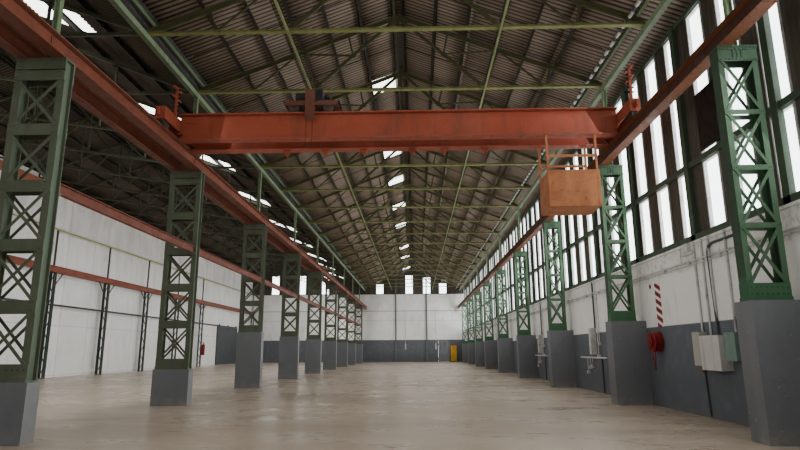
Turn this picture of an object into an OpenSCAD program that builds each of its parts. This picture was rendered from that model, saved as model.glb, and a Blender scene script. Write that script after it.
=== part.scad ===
// Crane hall of a factory: a nave with an overhead crane and a side aisle.
// Scale model at 1:2, every length here is half the real one, in millimetres.
// X runs across the hall, Y along it, Z up; the origin is the middle of the base.

/* [Bays] */
// Number of bays along the hall
bays = 11; // [6:1:11]
// Length of a regular bay
bay = 3410; // [3000:10:3450]
// Length of the one short bay
short_bay = 3095; // [2900:5:3400]
// Number of regular bays before the short one
bays_before_short = 2; // [1:1:4]

/* [Plan] */
// Nave centre line to the inner face of the side wall
nave_half = 3065; // [3000:5:3200]
// Inner face of the side wall to the inner face of the columns
column_line = 410; // [390:5:440]
// Nave centre line to the inner face of the aisle wall
aisle_reach = 9600; // [8800:50:10200]
// Thickness of the masonry walls
wall_t = 150; // [100:5:250]
// How far the roof sheets stand out past the walls
roof_overhang = 100; // [40:5:200]

/* [Heights above the floor] */
// Thickness of the floor slab
slab_t = 75; // [50:5:150]
// Height of the tall plinths
plinth_h = 1000; // [700:10:1200]
// Height of the low plinths on the aisle side
low_plinth_h = 440; // [300:10:700]
// Number of low plinths, counted from the near end
low_plinths = 3; // [1:1:5]
// Top of the columns
column_top = 3040; // [2900:10:3120]
// Underside of the roof trusses
tie_z = 4190; // [4100:10:4400]
// Top of the masonry under the side glazing
sill_z = 1740; // [1600:5:1900]
// Rail between the two tiers of side glazing
transom_z = 2530; // [2400:10:2800]
// Top of the masonry in the end walls
end_masonry_z = 3920; // [3800:10:4060]

/* [Roof] */
// Rise of the roof for each unit of run
roof_pitch = 0.391; // [0.3:0.005:0.45]
// Run of the aisle roof from the valley to its ridge
aisle_rise_run = 4650; // [4000:50:5200]
// Depth of the purlins
purlin_d = 70; // [50:5:90]
// Width of the purlins
purlin_w = 34; // [24:2:50]
// Thickness of the roof sheets
sheet_t = 14; // [8:1:30]
// Length of a skylight along the hall
skylight_l = 560; // [400:20:900]
// Width of a nave skylight down the slope
skylight_w = 400; // [300:20:440]
// Width of an aisle skylight down the slope
aisle_skylight_w = 900; // [400:50:1200]

/* [Columns] */
// Width of an aisle column across the hall
column_w = 420; // [400:5:440]
// Width of a side column across the hall
side_column_w = 310; // [290:5:330]
// Depth of a column along the hall
column_d = 112; // [90:2:140]
// Width of the legs of an aisle column
leg_w = 60; // [50:2:80]
// Width of the legs of a side column
side_leg_w = 44; // [36:2:60]
// Thickness of the leg flanges
leg_flange_t = 8; // [6:1:14]
// Thickness of the leg web
leg_web_t = 7; // [5:1:12]
// Thickness of the lacing bars
lacing_t = 6; // [5:1:10]
// Width of the crossed lacing bars
lacing_w = 24; // [16:2:36]
// Height of the battens of an aisle column
batten_h = 96; // [60:2:120]
// Height of the battens of a side column
side_batten_h = 40; // [30:2:70]
// Height of the base gussets
base_h = 130; // [90:5:160]
// Height of the cap girder of a side column
cap_h = 120; // [90:5:150]
// Height of the twin cap girder of an aisle column
aisle_cap_h = 184; // [150:2:210]
// Thickness of the cap plates
end_plate_t = 12; // [8:1:20]
// Height of one lacing panel, about
panel_h = 390; // [320:10:520]
// How far a plinth stands out past its column
plinth_lip = 20; // [10:1:30]
// Depth of a side plinth along the hall
plinth_d = 230; // [200:5:260]
// Depth of an aisle plinth along the hall
aisle_plinth_d = 156; // [150:2:200]

/* [Crane runway] */
// Depth of the runway girders
runway_h = 150; // [130:5:200]
// Width of the runway flanges
runway_w = 116; // [110:2:120]
// Thickness of the runway flanges
runway_flange_t = 10; // [8:1:16]
// Thickness of the runway webs
runway_web_t = 8; // [6:1:14]
// Height of the rails
rail_h = 30; // [20:2:40]
// Width of the rails
rail_w = 30; // [20:2:40]
// Size of the upper posts between the runway and the eaves
upper_post_w = 50; // [40:2:80]

/* [Crane] */
// Place of the crane along the hall, from the near end wall
crane_y = 9280; // [8000:10:14000]
// Underside of the bridge girders above the floor
bridge_base = 3170; // [3150:5:3190]
// Distance between the two bridge girders
bridge_gauge = 396; // [380:2:450]
// Depth of the bridge girders
bridge_h = 328; // [310:2:350]
// Width of the bridge flanges
bridge_w = 150; // [120:5:160]
// Thickness of the bridge flanges
bridge_flange_t = 12; // [8:1:18]
// Thickness of the bridge webs
bridge_web_t = 10; // [6:1:16]
// Length of the end carriages
carriage_l = 1300; // [1200:10:1500]
// Height of the end carriages
carriage_h = 150; // [120:5:170]
// Height of the collector masts on the end carriages
mast_h = 400; // [300:10:460]
// Diameter of the crane wheels
wheel_d = 180; // [160:5:190]
// Place of the crab, from the nave centre line
crab_x = -1050; // [-1400:10:900]
// Length of the crab across the hall
crab_l = 650; // [600:10:800]
// Diameter of the crab wheels
crab_wheel_d = 130; // [100:2:140]
// Diameter of the hoist drum
drum_d = 180; // [140:5:220]
// Place of the operator's cab, from the nave centre line
cab_x = 2080; // [1400:10:2100]
// Width of the operator's cab
cab_w = 600; // [500:10:640]
// Depth of the operator's cab
cab_d = 480; // [400:10:560]
// Height of the cab walls
cab_h = 434; // [380:2:500]
// Height of the cab floor above the hall floor
cab_z = 2280; // [2200:10:2400]
// Thickness of the cab's sheet
cab_t = 12; // [8:1:20]

/* [Aisle wall steel] */
// First post on the aisle wall, from the near end wall
aisle_post_first = 1020; // [800:10:1400]
// Spacing of the posts on the aisle wall
aisle_post_pitch = 2750; // [2500:50:3000]
// Width of these lattice posts
wall_post_w = 150; // [130:5:180]
// Depth of these lattice posts along the hall
wall_post_d = 120; // [80:5:140]
// Underside of the crane beam on them, above the floor
wall_beam_base = 2740; // [2600:10:2800]
// Depth of this crane beam
wall_beam_h = 170; // [140:5:190]
// Height of the light rail above it
post_rail_base = 3880; // [3700:10:3920]
// Depth of the beam along the wall head
head_beam_h = 200; // [160:5:230]

/* [Doors and wall pieces] */
// Width of the sliding door in the aisle wall
gate_w = 3100; // [2400:50:3300]
// Height of the sliding door
gate_h = 1800; // [1500:50:2200]
// Thickness of the sliding door
gate_t = 40; // [30:2:60]
// Middle of the sliding door, from the far end wall
gate_from_end = 4375; // [3600:25:4600]
// Place of the end doorways, from the nave centre line
end_door_x = 1480; // [1200:10:1800]
// Width of the end door
door_w = 650; // [500:10:700]
// Height of the end door
door_h = 1200; // [1100:10:1400]
// Thickness of the end door
door_t = 20; // [16:1:30]
// Clearance round a door leaf
door_gap = 6; // [5:1:12]
// Width of a gable window
gable_window_w = 416; // [240:8:480]
// Diameter of the hose reel
reel_d = 240; // [180:5:300]

/* [Hidden] */

// Clearances and small fixed sizes
seat = 0.3;
run_gap = 22;
eps = 1;

// Places along the hall, from the middle of the near end wall
function line_y(k) = k * bay - (k > bays_before_short ? bay - short_bay : 0);
function mid_y(k) = (line_y(k) + line_y(k + 1)) / 2;
hall_l = line_y(bays);
inner_y0 = wall_t / 2;
inner_y1 = hall_l - wall_t / 2;
inner_l = inner_y1 - inner_y0;

// Places across the hall
x_left = -aisle_reach - wall_t - roof_overhang;
x_right = nave_half + wall_t + roof_overhang;
nave_x = -(x_left + x_right) / 2;
column_inset = nave_half - column_line;
runway_x = column_inset + 5 + runway_w / 2;
post_x = runway_x + runway_w / 2 + run_gap + upper_post_w / 2;
valley_x = -post_x;

// Heights, from the base of the walls
fl = slab_t;
col_top = fl + column_top;
runway_z = col_top + seat;
rail_z = runway_z + runway_h;
rail_top = rail_z + rail_h;
tie = fl + tie_z;

// Roof lines: chord_d is the depth of the truss chords
chord_d = 50;
tie_d = 40;
chord_flange_t = 8;
chord_flange_w = 80;
tie_flange_w = 60;
web_t = 16;
heel_x = -valley_x - 10;
roof_angle = atan(roof_pitch);
chord_up = chord_d / 2 / cos(roof_angle);
purlin_up = purlin_d / cos(roof_angle);
sheet_up = sheet_t / cos(roof_angle);
function nave_chord_z(x) = tie + tie_d / 2 + (heel_x - abs(x)) * roof_pitch;
function nave_sheet_z(x) = nave_chord_z(x) + chord_up + purlin_up + 2 * seat;
aisle_heel_x = valley_x - 10;
aisle_ridge_x = aisle_heel_x - aisle_rise_run;
function aisle_chord_z(x) = tie + tie_d / 2
    + (aisle_rise_run - abs(x - aisle_ridge_x)) * roof_pitch;
function aisle_sheet_z(x) = aisle_chord_z(x) + chord_up + purlin_up + 2 * seat;
aisle_wall_z = aisle_sheet_z(-aisle_reach - wall_t) - seat;
aisle_end_x = -aisle_reach + 4;
aisle_end_rise = 910;
aisle_panels = 4;
aisle_knee_x = aisle_heel_x - aisle_rise_run / aisle_panels;
head_beam_w = 100;
head_top = tie + aisle_low(-aisle_reach + head_beam_w) - seat;
side_top_z = nave_sheet_z(nave_half + wall_t) - seat;

// Gutter in the valley between the two roofs
valley_gap = 30;
gutter_w = 2 * valley_gap - 6;
gutter_h = 60;
gutter_z = nave_chord_z(valley_x) + chord_up + 25;

// Puts a piece drawn from the near end wall and the nave centre line into place
module in_hall() {
    translate([nave_x, -hall_l / 2, 0]) children();
}

// A solid box from its lowest and highest corners
module box_between(low, high) {
    translate(low) cube(high - low);
}

// Stands an outline drawn in X and Z along Y
module along_y(y0, y1) {
    translate([0, y1, 0]) rotate([90, 0, 0]) linear_extrude(y1 - y0) children();
}

// Outline of an I section, its foot on the X axis
module i_section(w, h, flange, web) {
    translate([-w / 2, 0]) square([w, flange]);
    translate([-w / 2, h - flange]) square([w, flange]);
    translate([-web / 2, flange / 2]) square([web, h - flange]);
}

// A straight flat bar between two points of an outline
module flat_bar(a, b, w) {
    l = norm(b - a);
    translate(a) rotate(atan2(b[1] - a[1], b[0] - a[0])) translate([0, -w / 2]) square([l, w]);
}

// Floor inside the walls
module floor_slab() {
    color("rosybrown") in_hall()
        box_between([-aisle_reach + seat, inner_y0 + seat, 0],
                    [nave_half - seat, inner_y1 - seat, slab_t]);
}

// Side wall of the nave: masonry up to the sill
module side_wall() {
    color("gainsboro") in_hall()
        box_between([nave_half, -wall_t / 2, 0], [nave_half + wall_t, hall_l + wall_t / 2, fl + sill_z]);
}

// Steel frame of the side glazing
frame_post_w = 90;
rail_bar_h = 60;
strip_pitch = bay / 6;
strip_count = floor((hall_l - 200) / strip_pitch);
strip_first = strip_pitch / 2 + (line_y(bays_before_short + 1) % strip_pitch);
clad_t = 24;
frame_x0 = nave_half + 4;
frame_d = 50;
glazing_top = side_top_z - 60;

module side_frame() {
    color("darkseagreen") in_hall() {
        for (k = [0:bays - 1])
            for (y = k == 0 ? [mid_y(k)] : [line_y(k), mid_y(k)])
                translate([frame_x0, y - frame_post_w / 2, fl + sill_z])
                    cube([frame_d, frame_post_w, side_top_z - fl - sill_z]);
    }
}

// Strips of sheet and the windows between them
window_w = strip_pitch * 0.52;
module side_cladding() {
    color("dimgray") in_hall()
        translate([frame_x0 + frame_d + seat, 0, 0]) rotate([90, 0, 90])
            linear_extrude(clad_t) difference() {
                translate([-wall_t / 2, fl + sill_z + seat])
                    square([hall_l + wall_t, side_top_z - fl - sill_z - seat]);
                for (i = [0:strip_count - 1]) {
                    y = strip_first + i * strip_pitch;
                    translate([y - window_w / 2, fl + sill_z + 60])
                        square([window_w, transom_z - sill_z - 60 - rail_bar_h / 2]);
                    translate([y - window_w / 2, fl + transom_z + rail_bar_h / 2])
                        square([window_w, glazing_top - fl - transom_z - rail_bar_h / 2]);
                }
            }
}

module side_glazing() {
    color("white") in_hall()
        box_between([frame_x0 + frame_d + clad_t + 2 * seat, 0, fl + sill_z + seat],
                    [frame_x0 + frame_d + clad_t + 2 * seat + 10, hall_l, glazing_top + 20]);
}

// Aisle wall with the doorway of the sliding gate
gate_y0 = hall_l - gate_from_end - gate_w / 2;
gate_y1 = gate_y0 + gate_w;
module wall_piece(y0, y1, z0) {
    box_between([-aisle_reach - wall_t, y0, z0], [-aisle_reach, y1, aisle_wall_z]);
}
module aisle_wall() {
    color("gainsboro") in_hall() {
        wall_piece(-wall_t / 2, gate_y0, 0);
        wall_piece(gate_y1, hall_l + wall_t / 2, 0);
        wall_piece(gate_y0 + seat, gate_y1 - seat, fl + gate_h);
    }
}

// Lattice posts in front of the aisle wall, none in front of the gate
wall_post_x = -aisle_reach + 120;
wall_post_mid = wall_post_x + wall_post_w / 2;
wall_post_leg = 24;
wall_post_bar = 18;
wall_post_plate = 15;
wall_post_panels = 9;
wall_beam_z = fl + wall_beam_base;
wall_beam_w = 90;
post_rail_z = fl + post_rail_base;
post_rail_w = 40;
post_rail_h = 30;
side_rail_z = fl + 1850;
side_rail_h = 50;
side_rail_t = 20;
knee_run = 420;
brace_room = knee_run + wall_post_d;
gate_clear = 300;
post_slots = floor((inner_l - aisle_post_first) / aisle_post_pitch);
aisle_post_ys = [for (i = [0:post_slots])
    let (y = aisle_post_first + i * aisle_post_pitch)
    if (y < gate_y0 - gate_clear || y > gate_y1 + gate_clear) y];
posts_before_gate = len([for (y = aisle_post_ys) if (y < gate_y0) y]);

module wall_post() {
    h = wall_beam_z - fl - seat;
    for (x = [0, wall_post_w - wall_post_leg])
        translate([wall_post_x + x, -wall_post_d / 2, fl]) cube([wall_post_leg, wall_post_d, h]);
    ph = (h - 2 * wall_post_plate) / wall_post_panels;
    inset = wall_post_leg / 2;
    translate([wall_post_x, 0, fl + wall_post_plate]) along_y(-5, 5)
        for (j = [0:wall_post_panels - 1]) {
            a = j % 2 == 0 ? inset : wall_post_w - inset;
            flat_bar([a, j * ph], [wall_post_w - a, (j + 1) * ph], wall_post_bar);
        }
    for (z = [0, h - wall_post_plate])
        translate([wall_post_x, -wall_post_d / 2, fl + z]) cube([wall_post_w, wall_post_d, wall_post_plate]);
}
module knee_brace(dir) {
    foot = [wall_post_d / 2 - 10, wall_beam_z - knee_run];
    head = [wall_post_d / 2 + knee_run - 60, wall_beam_z - seat - 20];
    translate([wall_post_mid + wall_post_bar / 2, 0, 0]) rotate([0, 0, dir > 0 ? 90 : -90])
        mirror([0, dir > 0 ? 0 : 1, 0]) along_y(0, wall_post_bar) {
            flat_bar(foot, head, wall_post_bar * 1.5);
            translate([head[0] - 30, wall_beam_z - seat - 20]) square([60, 20]);
        }
}
module aisle_wall_posts() {
    color("darkolivegreen") in_hall() {
        for (y = aisle_post_ys) translate([0, y, 0]) {
            wall_post();
            for (dir = [-1, 1])
                if (y + dir * brace_room > inner_y0 && y + dir * brace_room < inner_y1) knee_brace(dir);
        }
        box_between([wall_post_x + wall_post_w - eps, aisle_post_ys[0], side_rail_z],
                    [wall_post_x + wall_post_w + side_rail_t, aisle_post_ys[posts_before_gate - 1],
                     side_rail_z + side_rail_h]);
    }
}

// Crane beam on the wall posts, a light rail on stub posts above it, and the beam along the wall head
module wall_crane_beam() {
    color("brown") in_hall() {
        translate([wall_post_mid, 0, wall_beam_z]) along_y(inner_y0 + 5, inner_y1 - 5)
            i_section(wall_beam_w, wall_beam_h, 10, 8);
        for (y = aisle_post_ys)
            translate([wall_post_mid - post_rail_w / 2, y - post_rail_w / 2, wall_beam_z + wall_beam_h - eps])
                cube([post_rail_w, post_rail_w, post_rail_z - wall_beam_z - wall_beam_h + 2 * eps]);
        box_between([wall_post_mid - post_rail_w / 2, inner_y0 + 5, post_rail_z],
                    [wall_post_mid + post_rail_w / 2, inner_y1 - 5, post_rail_z + post_rail_h]);
        box_between([-aisle_reach + seat, inner_y0 + 5, head_top - head_beam_h],
                    [-aisle_reach + head_beam_w, inner_y1 - 5, head_top]);
    }
}

// End walls: masonry in pieces beside and over the doorway, with a ledge inside
opening_w = door_w + 2 * door_gap;
opening_z = fl + door_h + door_gap;
masonry_top = fl + end_masonry_z;
ledge_z = fl + 2925;
ledge_h = 26;
ledge_d = 20;
module end_masonry(dir) {
    y = dir > 0 ? inner_y1 : inner_y0 - wall_t;
    box_between([-aisle_reach + seat, y, 0], [end_door_x, y + wall_t, masonry_top]);
    box_between([end_door_x + opening_w, y, 0], [nave_half - seat, y + wall_t, masonry_top]);
    box_between([end_door_x + seat, y, opening_z],
                [end_door_x + opening_w - seat, y + wall_t, masonry_top]);
    ledge_y = dir > 0 ? y - ledge_d : y + wall_t - eps;
    box_between([-aisle_reach + 300, ledge_y, ledge_z],
                [nave_half - 60, ledge_y + ledge_d + eps, ledge_z + ledge_h]);
}
module far_end_wall() {
    color("gainsboro") in_hall() end_masonry(1);
}
module near_end_wall() {
    color("gainsboro") in_hall() end_masonry(-1);
}

// Gable of sheets: its outline steps round the gutter, and the tall windows stand in the middle
gable_window_xs = [-8200, -6600, -5200, -1930, -180, 870, 1825];
gable_window_foot = 50;
gable_window_top = fl + 5060;
gable_margin = 60;
skin_off = 60;
pane_t = 10;
pane_lap = 20;
module gable_outline(z0) {
    polygon([[-aisle_reach + seat, z0], [nave_half - seat, z0],
             [nave_half - seat, nave_sheet_z(nave_half) - seat],
             [0, nave_sheet_z(0) - seat],
             [valley_x + valley_gap, nave_sheet_z(valley_x + valley_gap) - seat],
             [valley_x + valley_gap, gutter_z - seat],
             [valley_x - valley_gap, gutter_z - seat],
             [valley_x - valley_gap, aisle_sheet_z(valley_x - valley_gap) - seat],
             [aisle_ridge_x, aisle_sheet_z(aisle_ridge_x) - seat],
             [-aisle_reach + seat, aisle_sheet_z(-aisle_reach) - seat]]);
}
function gable_z(x) = x > valley_x ? nave_sheet_z(x) : aisle_sheet_z(x);
function window_head(x) = min(gable_window_top,
    gable_z(x - gable_window_w / 2) - gable_margin, gable_z(x + gable_window_w / 2) - gable_margin);
module gable_windows_outline(grow) {
    z0 = masonry_top + gable_window_foot;
    for (x = gable_window_xs)
        translate([x - gable_window_w / 2 - grow, z0 - grow])
            square([gable_window_w + 2 * grow, window_head(x) - z0 + 2 * grow]);
}
module gable_skin() {
    difference() {
        gable_outline(masonry_top + seat);
        gable_windows_outline(0);
    }
}
module gable_sheets() {
    color("dimgray") in_hall() {
        along_y(inner_y1 + skin_off, inner_y1 + skin_off + clad_t) gable_skin();
        along_y(inner_y0 - skin_off - clad_t, inner_y0 - skin_off) gable_skin();
    }
}
module gable_windows() {
    out = skin_off + clad_t + seat;
    color("white") in_hall() {
        along_y(inner_y1 + out, inner_y1 + out + pane_t) gable_windows_outline(pane_lap);
        along_y(inner_y0 - out - pane_t, inner_y0 - out) gable_windows_outline(pane_lap);
    }
}
end_post_xs = [-980, 830];
end_post_w = 80;
end_post_d = 60;
module end_posts() {
    color("darkseagreen") in_hall()
        for (x = end_post_xs, y = [inner_y1 - end_post_d - ledge_d - seat, inner_y0 + ledge_d + seat])
            translate([x - end_post_w / 2, y, fl])
                cube([end_post_w, end_post_d, nave_chord_z(x) - fl - end_post_d]);
}

// Masonry plinths under the columns
plinth_x = column_inset - plinth_lip;
module plinths_side() {
    color("slategray") in_hall()
        for (k = [1:bays - 1])
            box_between([plinth_x, line_y(k) - plinth_d / 2, fl],
                        [nave_half - seat, line_y(k) + plinth_d / 2, fl + plinth_h]);
}
function aisle_plinth_h(k) = k <= low_plinths ? low_plinth_h : plinth_h;
module plinths_aisle() {
    color("slategray") in_hall()
        for (k = [1:bays - 1])
            box_between([-plinth_x - column_w - 2 * plinth_lip, line_y(k) - aisle_plinth_d / 2, fl],
                        [-plinth_x, line_y(k) + aisle_plinth_d / 2, fl + aisle_plinth_h(k)]);
}

// Laced columns: two legs, battens, crossed bars, base gussets, cap girder and cap plate
module leg_flanges(w) {
    for (y = [-column_d / 2, column_d / 2 - leg_flange_t])
        translate([0, y]) square([w, leg_flange_t]);
}
module i_leg() {
    leg_flanges(leg_w);
    translate([(leg_w - leg_web_t) / 2, -column_d / 2]) square([leg_web_t, column_d]);
}
module channel_leg(turned) {
    leg_flanges(side_leg_w);
    translate([turned ? side_leg_w - leg_web_t : 0, -column_d / 2]) square([leg_web_t, column_d]);
}

// One laced face: the bars run between the gusset, the battens and the cap
lap = 8;
module lacing_face(h, w, leg, batten, cap) {
    clear = h - cap - base_h;
    n = max(2, round((clear + batten) / (panel_h + batten)));
    panel = (clear - (n - 1) * batten) / n;
    square([w, base_h]);
    for (j = [0:n - 1]) {
        z = base_h + j * (panel + batten);
        if (j > 0) translate([0, z - batten]) square([w, batten]);
        flat_bar([leg / 2, z - lap], [w - leg / 2, z + panel + lap], lacing_w);
        flat_bar([w - leg / 2, z - lap], [leg / 2, z + panel + lap], lacing_w);
    }
}
module both_faces(t, proud) {
    for (y = [-column_d / 2 - proud - t, column_d / 2 + proud])
        along_y(y, y + t) children();
}

// Riveted plate girder: a plate, flange angles and stiffeners in the middle
girder_edge = 24;
stiffener_w = 16;
stiffener_gap = 34;
module side_cap(h) {
    both_faces(lacing_t, 0) translate([0, h - cap_h]) square([side_column_w, cap_h]);
    both_faces(lacing_t + eps, lacing_t - eps) translate([0, h - cap_h]) {
        square([side_column_w, girder_edge]);
        translate([0, cap_h - girder_edge]) square([side_column_w, girder_edge]);
        for (x = [-stiffener_gap, 0, stiffener_gap])
            translate([(side_column_w - stiffener_w) / 2 + x, 0]) square([stiffener_w, cap_h]);
    }
}

// Twin beams one over the other, with a slot between them
twin_gap = 12;
module aisle_cap(h) {
    beam_h = (aisle_cap_h - twin_gap) / 2;
    both_faces(lacing_t + 4, 0)
        for (z = [0, beam_h + twin_gap])
            translate([0, h - aisle_cap_h + z]) square([column_w, beam_h]);
}
foot_h = 28;
foot_t = 12;
module column_plates(w, h) {
    d = column_d + 2 * (lacing_t + foot_t);
    translate([-4, -d / 2, h]) cube([w + 8, d, end_plate_t]);
    translate([0, -column_d / 2 - eps, 0]) cube([w, column_d + 2 * eps, end_plate_t]);
    both_faces(foot_t, lacing_t) square([w, foot_h]);
}
module side_column(h) {
    hc = h - end_plate_t;
    linear_extrude(hc + eps) {
        channel_leg(false);
        translate([side_column_w - side_leg_w, 0]) channel_leg(true);
    }
    both_faces(lacing_t, 0) lacing_face(hc, side_column_w, side_leg_w, side_batten_h, cap_h);
    side_cap(hc + eps);
    column_plates(side_column_w, hc);
}
module aisle_column(h) {
    hc = h - end_plate_t;
    linear_extrude(hc + eps) {
        i_leg();
        translate([column_w - leg_w, 0]) i_leg();
    }
    both_faces(lacing_t, 0) lacing_face(hc, column_w, leg_w, batten_h, aisle_cap_h);
    aisle_cap(hc + eps);
    column_plates(column_w, hc);
}
module columns_side() {
    color("darkseagreen") in_hall()
        for (k = [1:bays - 1]) translate([column_inset, line_y(k), fl + plinth_h])
            side_column(column_top - plinth_h);
}

// Seats of the lower beams stand on the columns' faces, inside the nave legs
lower_beam_z = fl + 1915;
lower_beam_w = 50;
lower_beam_in = 10;
seat_t = 14;
seat_l = 36;
face_d = column_d / 2 + lacing_t;
module beam_seat(dir) {
    translate([lower_beam_in - 5, dir > 0 ? face_d - eps : -face_d - seat_l, lower_beam_z - seat_t - seat])
        cube([lower_beam_w + 10, seat_l + eps, seat_t]);
}
module columns_aisle() {
    color("olivedrab") in_hall()
        for (k = [1:bays - 1]) {
            h = aisle_plinth_h(k);
            translate([-column_inset, line_y(k), 0]) mirror([1, 0, 0]) {
                translate([0, 0, fl + h]) aisle_column(column_top - h);
                if (k > 1 && k < bays - 1) beam_seat(1);
                if (k > 2) beam_seat(-1);
            }
        }
}

// Slender posts from the column caps up to the eaves
eaves_h = 70;
eaves_w = 60;
eaves_t = 8;
module upper_posts() {
    color("darkseagreen") in_hall()
        for (k = [1:bays - 1], s = [-1, 1])
            translate([s * post_x, line_y(k), col_top + seat])
                linear_extrude(tie - eaves_h - col_top - 3 * seat) rotate(90)
                    translate([0, -upper_post_w / 2]) i_section(upper_post_w, upper_post_w, 7, 7);
}

// Runway girders of the nave crane, from end wall to end wall
module runway(y0, y1) {
    along_y(y0, y1) i_section(runway_w, runway_h, runway_flange_t, runway_web_t);
}
module runway_side() {
    color("sienna") in_hall() translate([runway_x, 0, runway_z]) runway(inner_y0 + seat, inner_y1 - seat);
}
module runway_aisle() {
    color("indianred") in_hall() translate([-runway_x, 0, runway_z]) runway(inner_y0 + seat, inner_y1 - seat);
}
module crane_rails() {
    color("saddlebrown") in_hall()
        for (s = [-1, 1])
            translate([s * runway_x - rail_w / 2, inner_y0 + seat, rail_z + seat])
                cube([rail_w, inner_l - 2 * seat, rail_h - seat]);
}

// Crane beam of the aisle on the outer legs of the aisle columns
aisle_beam_w = 90;
aisle_beam_h = 160;
aisle_beam_x = -(column_inset + column_w - aisle_beam_w / 2);
module aisle_crane_beam() {
    color("indianred") in_hall() translate([aisle_beam_x, 0, runway_z])
        along_y(inner_y0 + seat, inner_y1 - seat) i_section(aisle_beam_w, aisle_beam_h, 10, 8);
}

// Light beam beside the inner legs of the aisle columns, from the second to the last
lower_beam_h = 90;
module lower_beam() {
    off = face_d + foot_t + seat;
    color("indianred") in_hall()
        translate([-(column_inset + lower_beam_in + lower_beam_w / 2), 0, lower_beam_z])
            for (k = [2:bays - 2])
                along_y(line_y(k) + off, line_y(k + 1) - off) i_section(lower_beam_w, lower_beam_h, 8, 8);
}

// Channels at the eaves, open upwards, on the upper posts
module eaves_beams() {
    color("darkseagreen") in_hall()
        for (s = [-1, 1])
            translate([s * post_x, 0, tie - eaves_h - seat]) along_y(inner_y0 + seat, inner_y1 - seat)
                difference() {
                    translate([-eaves_w / 2, 0]) square([eaves_w, eaves_h]);
                    translate([-eaves_w / 2 + eaves_t, eaves_t]) square([eaves_w - 2 * eaves_t, eaves_h]);
                }
}

// Roof truss of the nave: chords, tie, struts and crossed diagonals
function on_chord(s, f) = [s * heel_x * (1 - f), tie_d / 2 + heel_x * f * roof_pitch];
tie_node_out = 0.725;
tie_node_in = 0.425;
main_bar_w = 48;
web_bar_w = 24;
gusset_d = 80;
heel_gusset_d = 120;
module nave_half_web(s) {
    h = on_chord(s, 0);
    a = on_chord(s, 0.25);
    b = on_chord(s, 0.5);
    c = on_chord(s, 0.75);
    r = on_chord(s, 1);
    t1 = [s * heel_x * tie_node_out, tie_d / 2];
    t2 = [s * heel_x * tie_node_in, tie_d / 2];
    d = t2 + (r - t2) * 0.47;
    flat_bar(h, r, chord_d);
    flat_bar(t2, r, main_bar_w);
    flat_bar(a, t1, web_bar_w);
    flat_bar(t1, b, web_bar_w);
    flat_bar(b, t2, web_bar_w);
    flat_bar(b, d, web_bar_w);
    flat_bar(c, d, web_bar_w);
    for (p = [t1, t2, b, d]) translate(p) circle(d = gusset_d, $fn = 8);
    translate([h[0] - s * 110, h[1]]) circle(d = heel_gusset_d, $fn = 8);
}
module nave_web() {
    for (s = [-1, 1]) nave_half_web(s);
    translate([-heel_x, 0]) square([2 * heel_x, tie_d]);
    r = heel_x * roof_pitch;
    translate([-10, tie_d / 2]) square([20, r]);
    translate([0, r]) circle(d = heel_gusset_d, $fn = 8);
    translate([0, tie_d / 2]) circle(d = gusset_d, $fn = 8);
}
module nave_clip() {
    polygon([[-heel_x, 0], [heel_x, 0], [heel_x, tie_d / 2 + chord_up],
             [0, heel_x * roof_pitch + tie_d / 2 + chord_up], [-heel_x, tie_d / 2 + chord_up]]);
}
module nave_truss() {
    top = tie_d / 2 + chord_up;
    peak = top + heel_x * roof_pitch;
    along_y(-web_t / 2, web_t / 2) intersection() {
        nave_web();
        nave_clip();
    }
    along_y(-chord_flange_w / 2, chord_flange_w / 2)
        polygon([[-heel_x, top], [0, peak], [heel_x, top], [heel_x, top - chord_flange_t],
                 [0, peak - chord_flange_t], [-heel_x, top - chord_flange_t]]);
    along_y(-tie_flange_w / 2, tie_flange_w / 2)
        translate([-heel_x, 0]) square([2 * heel_x, chord_flange_t]);
}
module nave_trusses() {
    color("yellowgreen") in_hall() {
        for (k = [1:bays - 1]) translate([0, line_y(k), tie]) nave_truss();
        for (k = [0:bays - 1]) translate([0, mid_y(k), tie]) nave_truss();
    }
}

// Roof truss of the aisle: its lower chord climbs from the heel to the wall head
function aisle_low(x) = max(0, (aisle_knee_x - x) * aisle_end_rise / (aisle_knee_x - aisle_end_x));
function aisle_tie(x) = [x, tie_d / 2 + aisle_low(x)];
module aisle_web() {
    peak = [aisle_ridge_x, aisle_chord_z(aisle_ridge_x) - tie];
    far_top = [aisle_end_x, aisle_chord_z(aisle_end_x) - tie];
    heel = [aisle_heel_x, tie_d / 2];
    for (i = [0:aisle_panels - 1]) {
        a = heel + (peak - heel) * i / aisle_panels;
        b = heel + (peak - heel) * (i + 1) / aisle_panels;
        flat_bar(aisle_tie(b[0]), b, web_bar_w);
        flat_bar(aisle_tie(a[0]), b, web_bar_w);
    }
    m = (peak + far_top) / 2;
    flat_bar(aisle_tie(m[0]), m, web_bar_w);
    flat_bar(aisle_tie(m[0]), peak, web_bar_w);
    flat_bar(heel, peak, chord_d);
    flat_bar(peak, far_top, chord_d);
    polygon([[aisle_heel_x, 0], [aisle_heel_x, tie_d], [aisle_knee_x, tie_d],
             [aisle_end_x, aisle_end_rise + tie_d], [aisle_end_x, aisle_end_rise], [aisle_knee_x, 0]]);
    flat_bar(aisle_tie(aisle_end_x + 15), far_top + [15, 0], 30);
    translate(heel - [110, 0]) circle(d = heel_gusset_d, $fn = 8);
}
module aisle_clip() {
    polygon([[aisle_heel_x, 0], [aisle_heel_x, tie_d / 2 + chord_up],
             [aisle_ridge_x, aisle_chord_z(aisle_ridge_x) - tie + chord_up],
             [aisle_end_x, aisle_chord_z(aisle_end_x) - tie + chord_up],
             [aisle_end_x, aisle_end_rise], [aisle_knee_x, 0]]);
}
module aisle_truss() {
    along_y(-web_t, web_t) intersection() {
        aisle_web();
        aisle_clip();
    }
}
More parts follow.
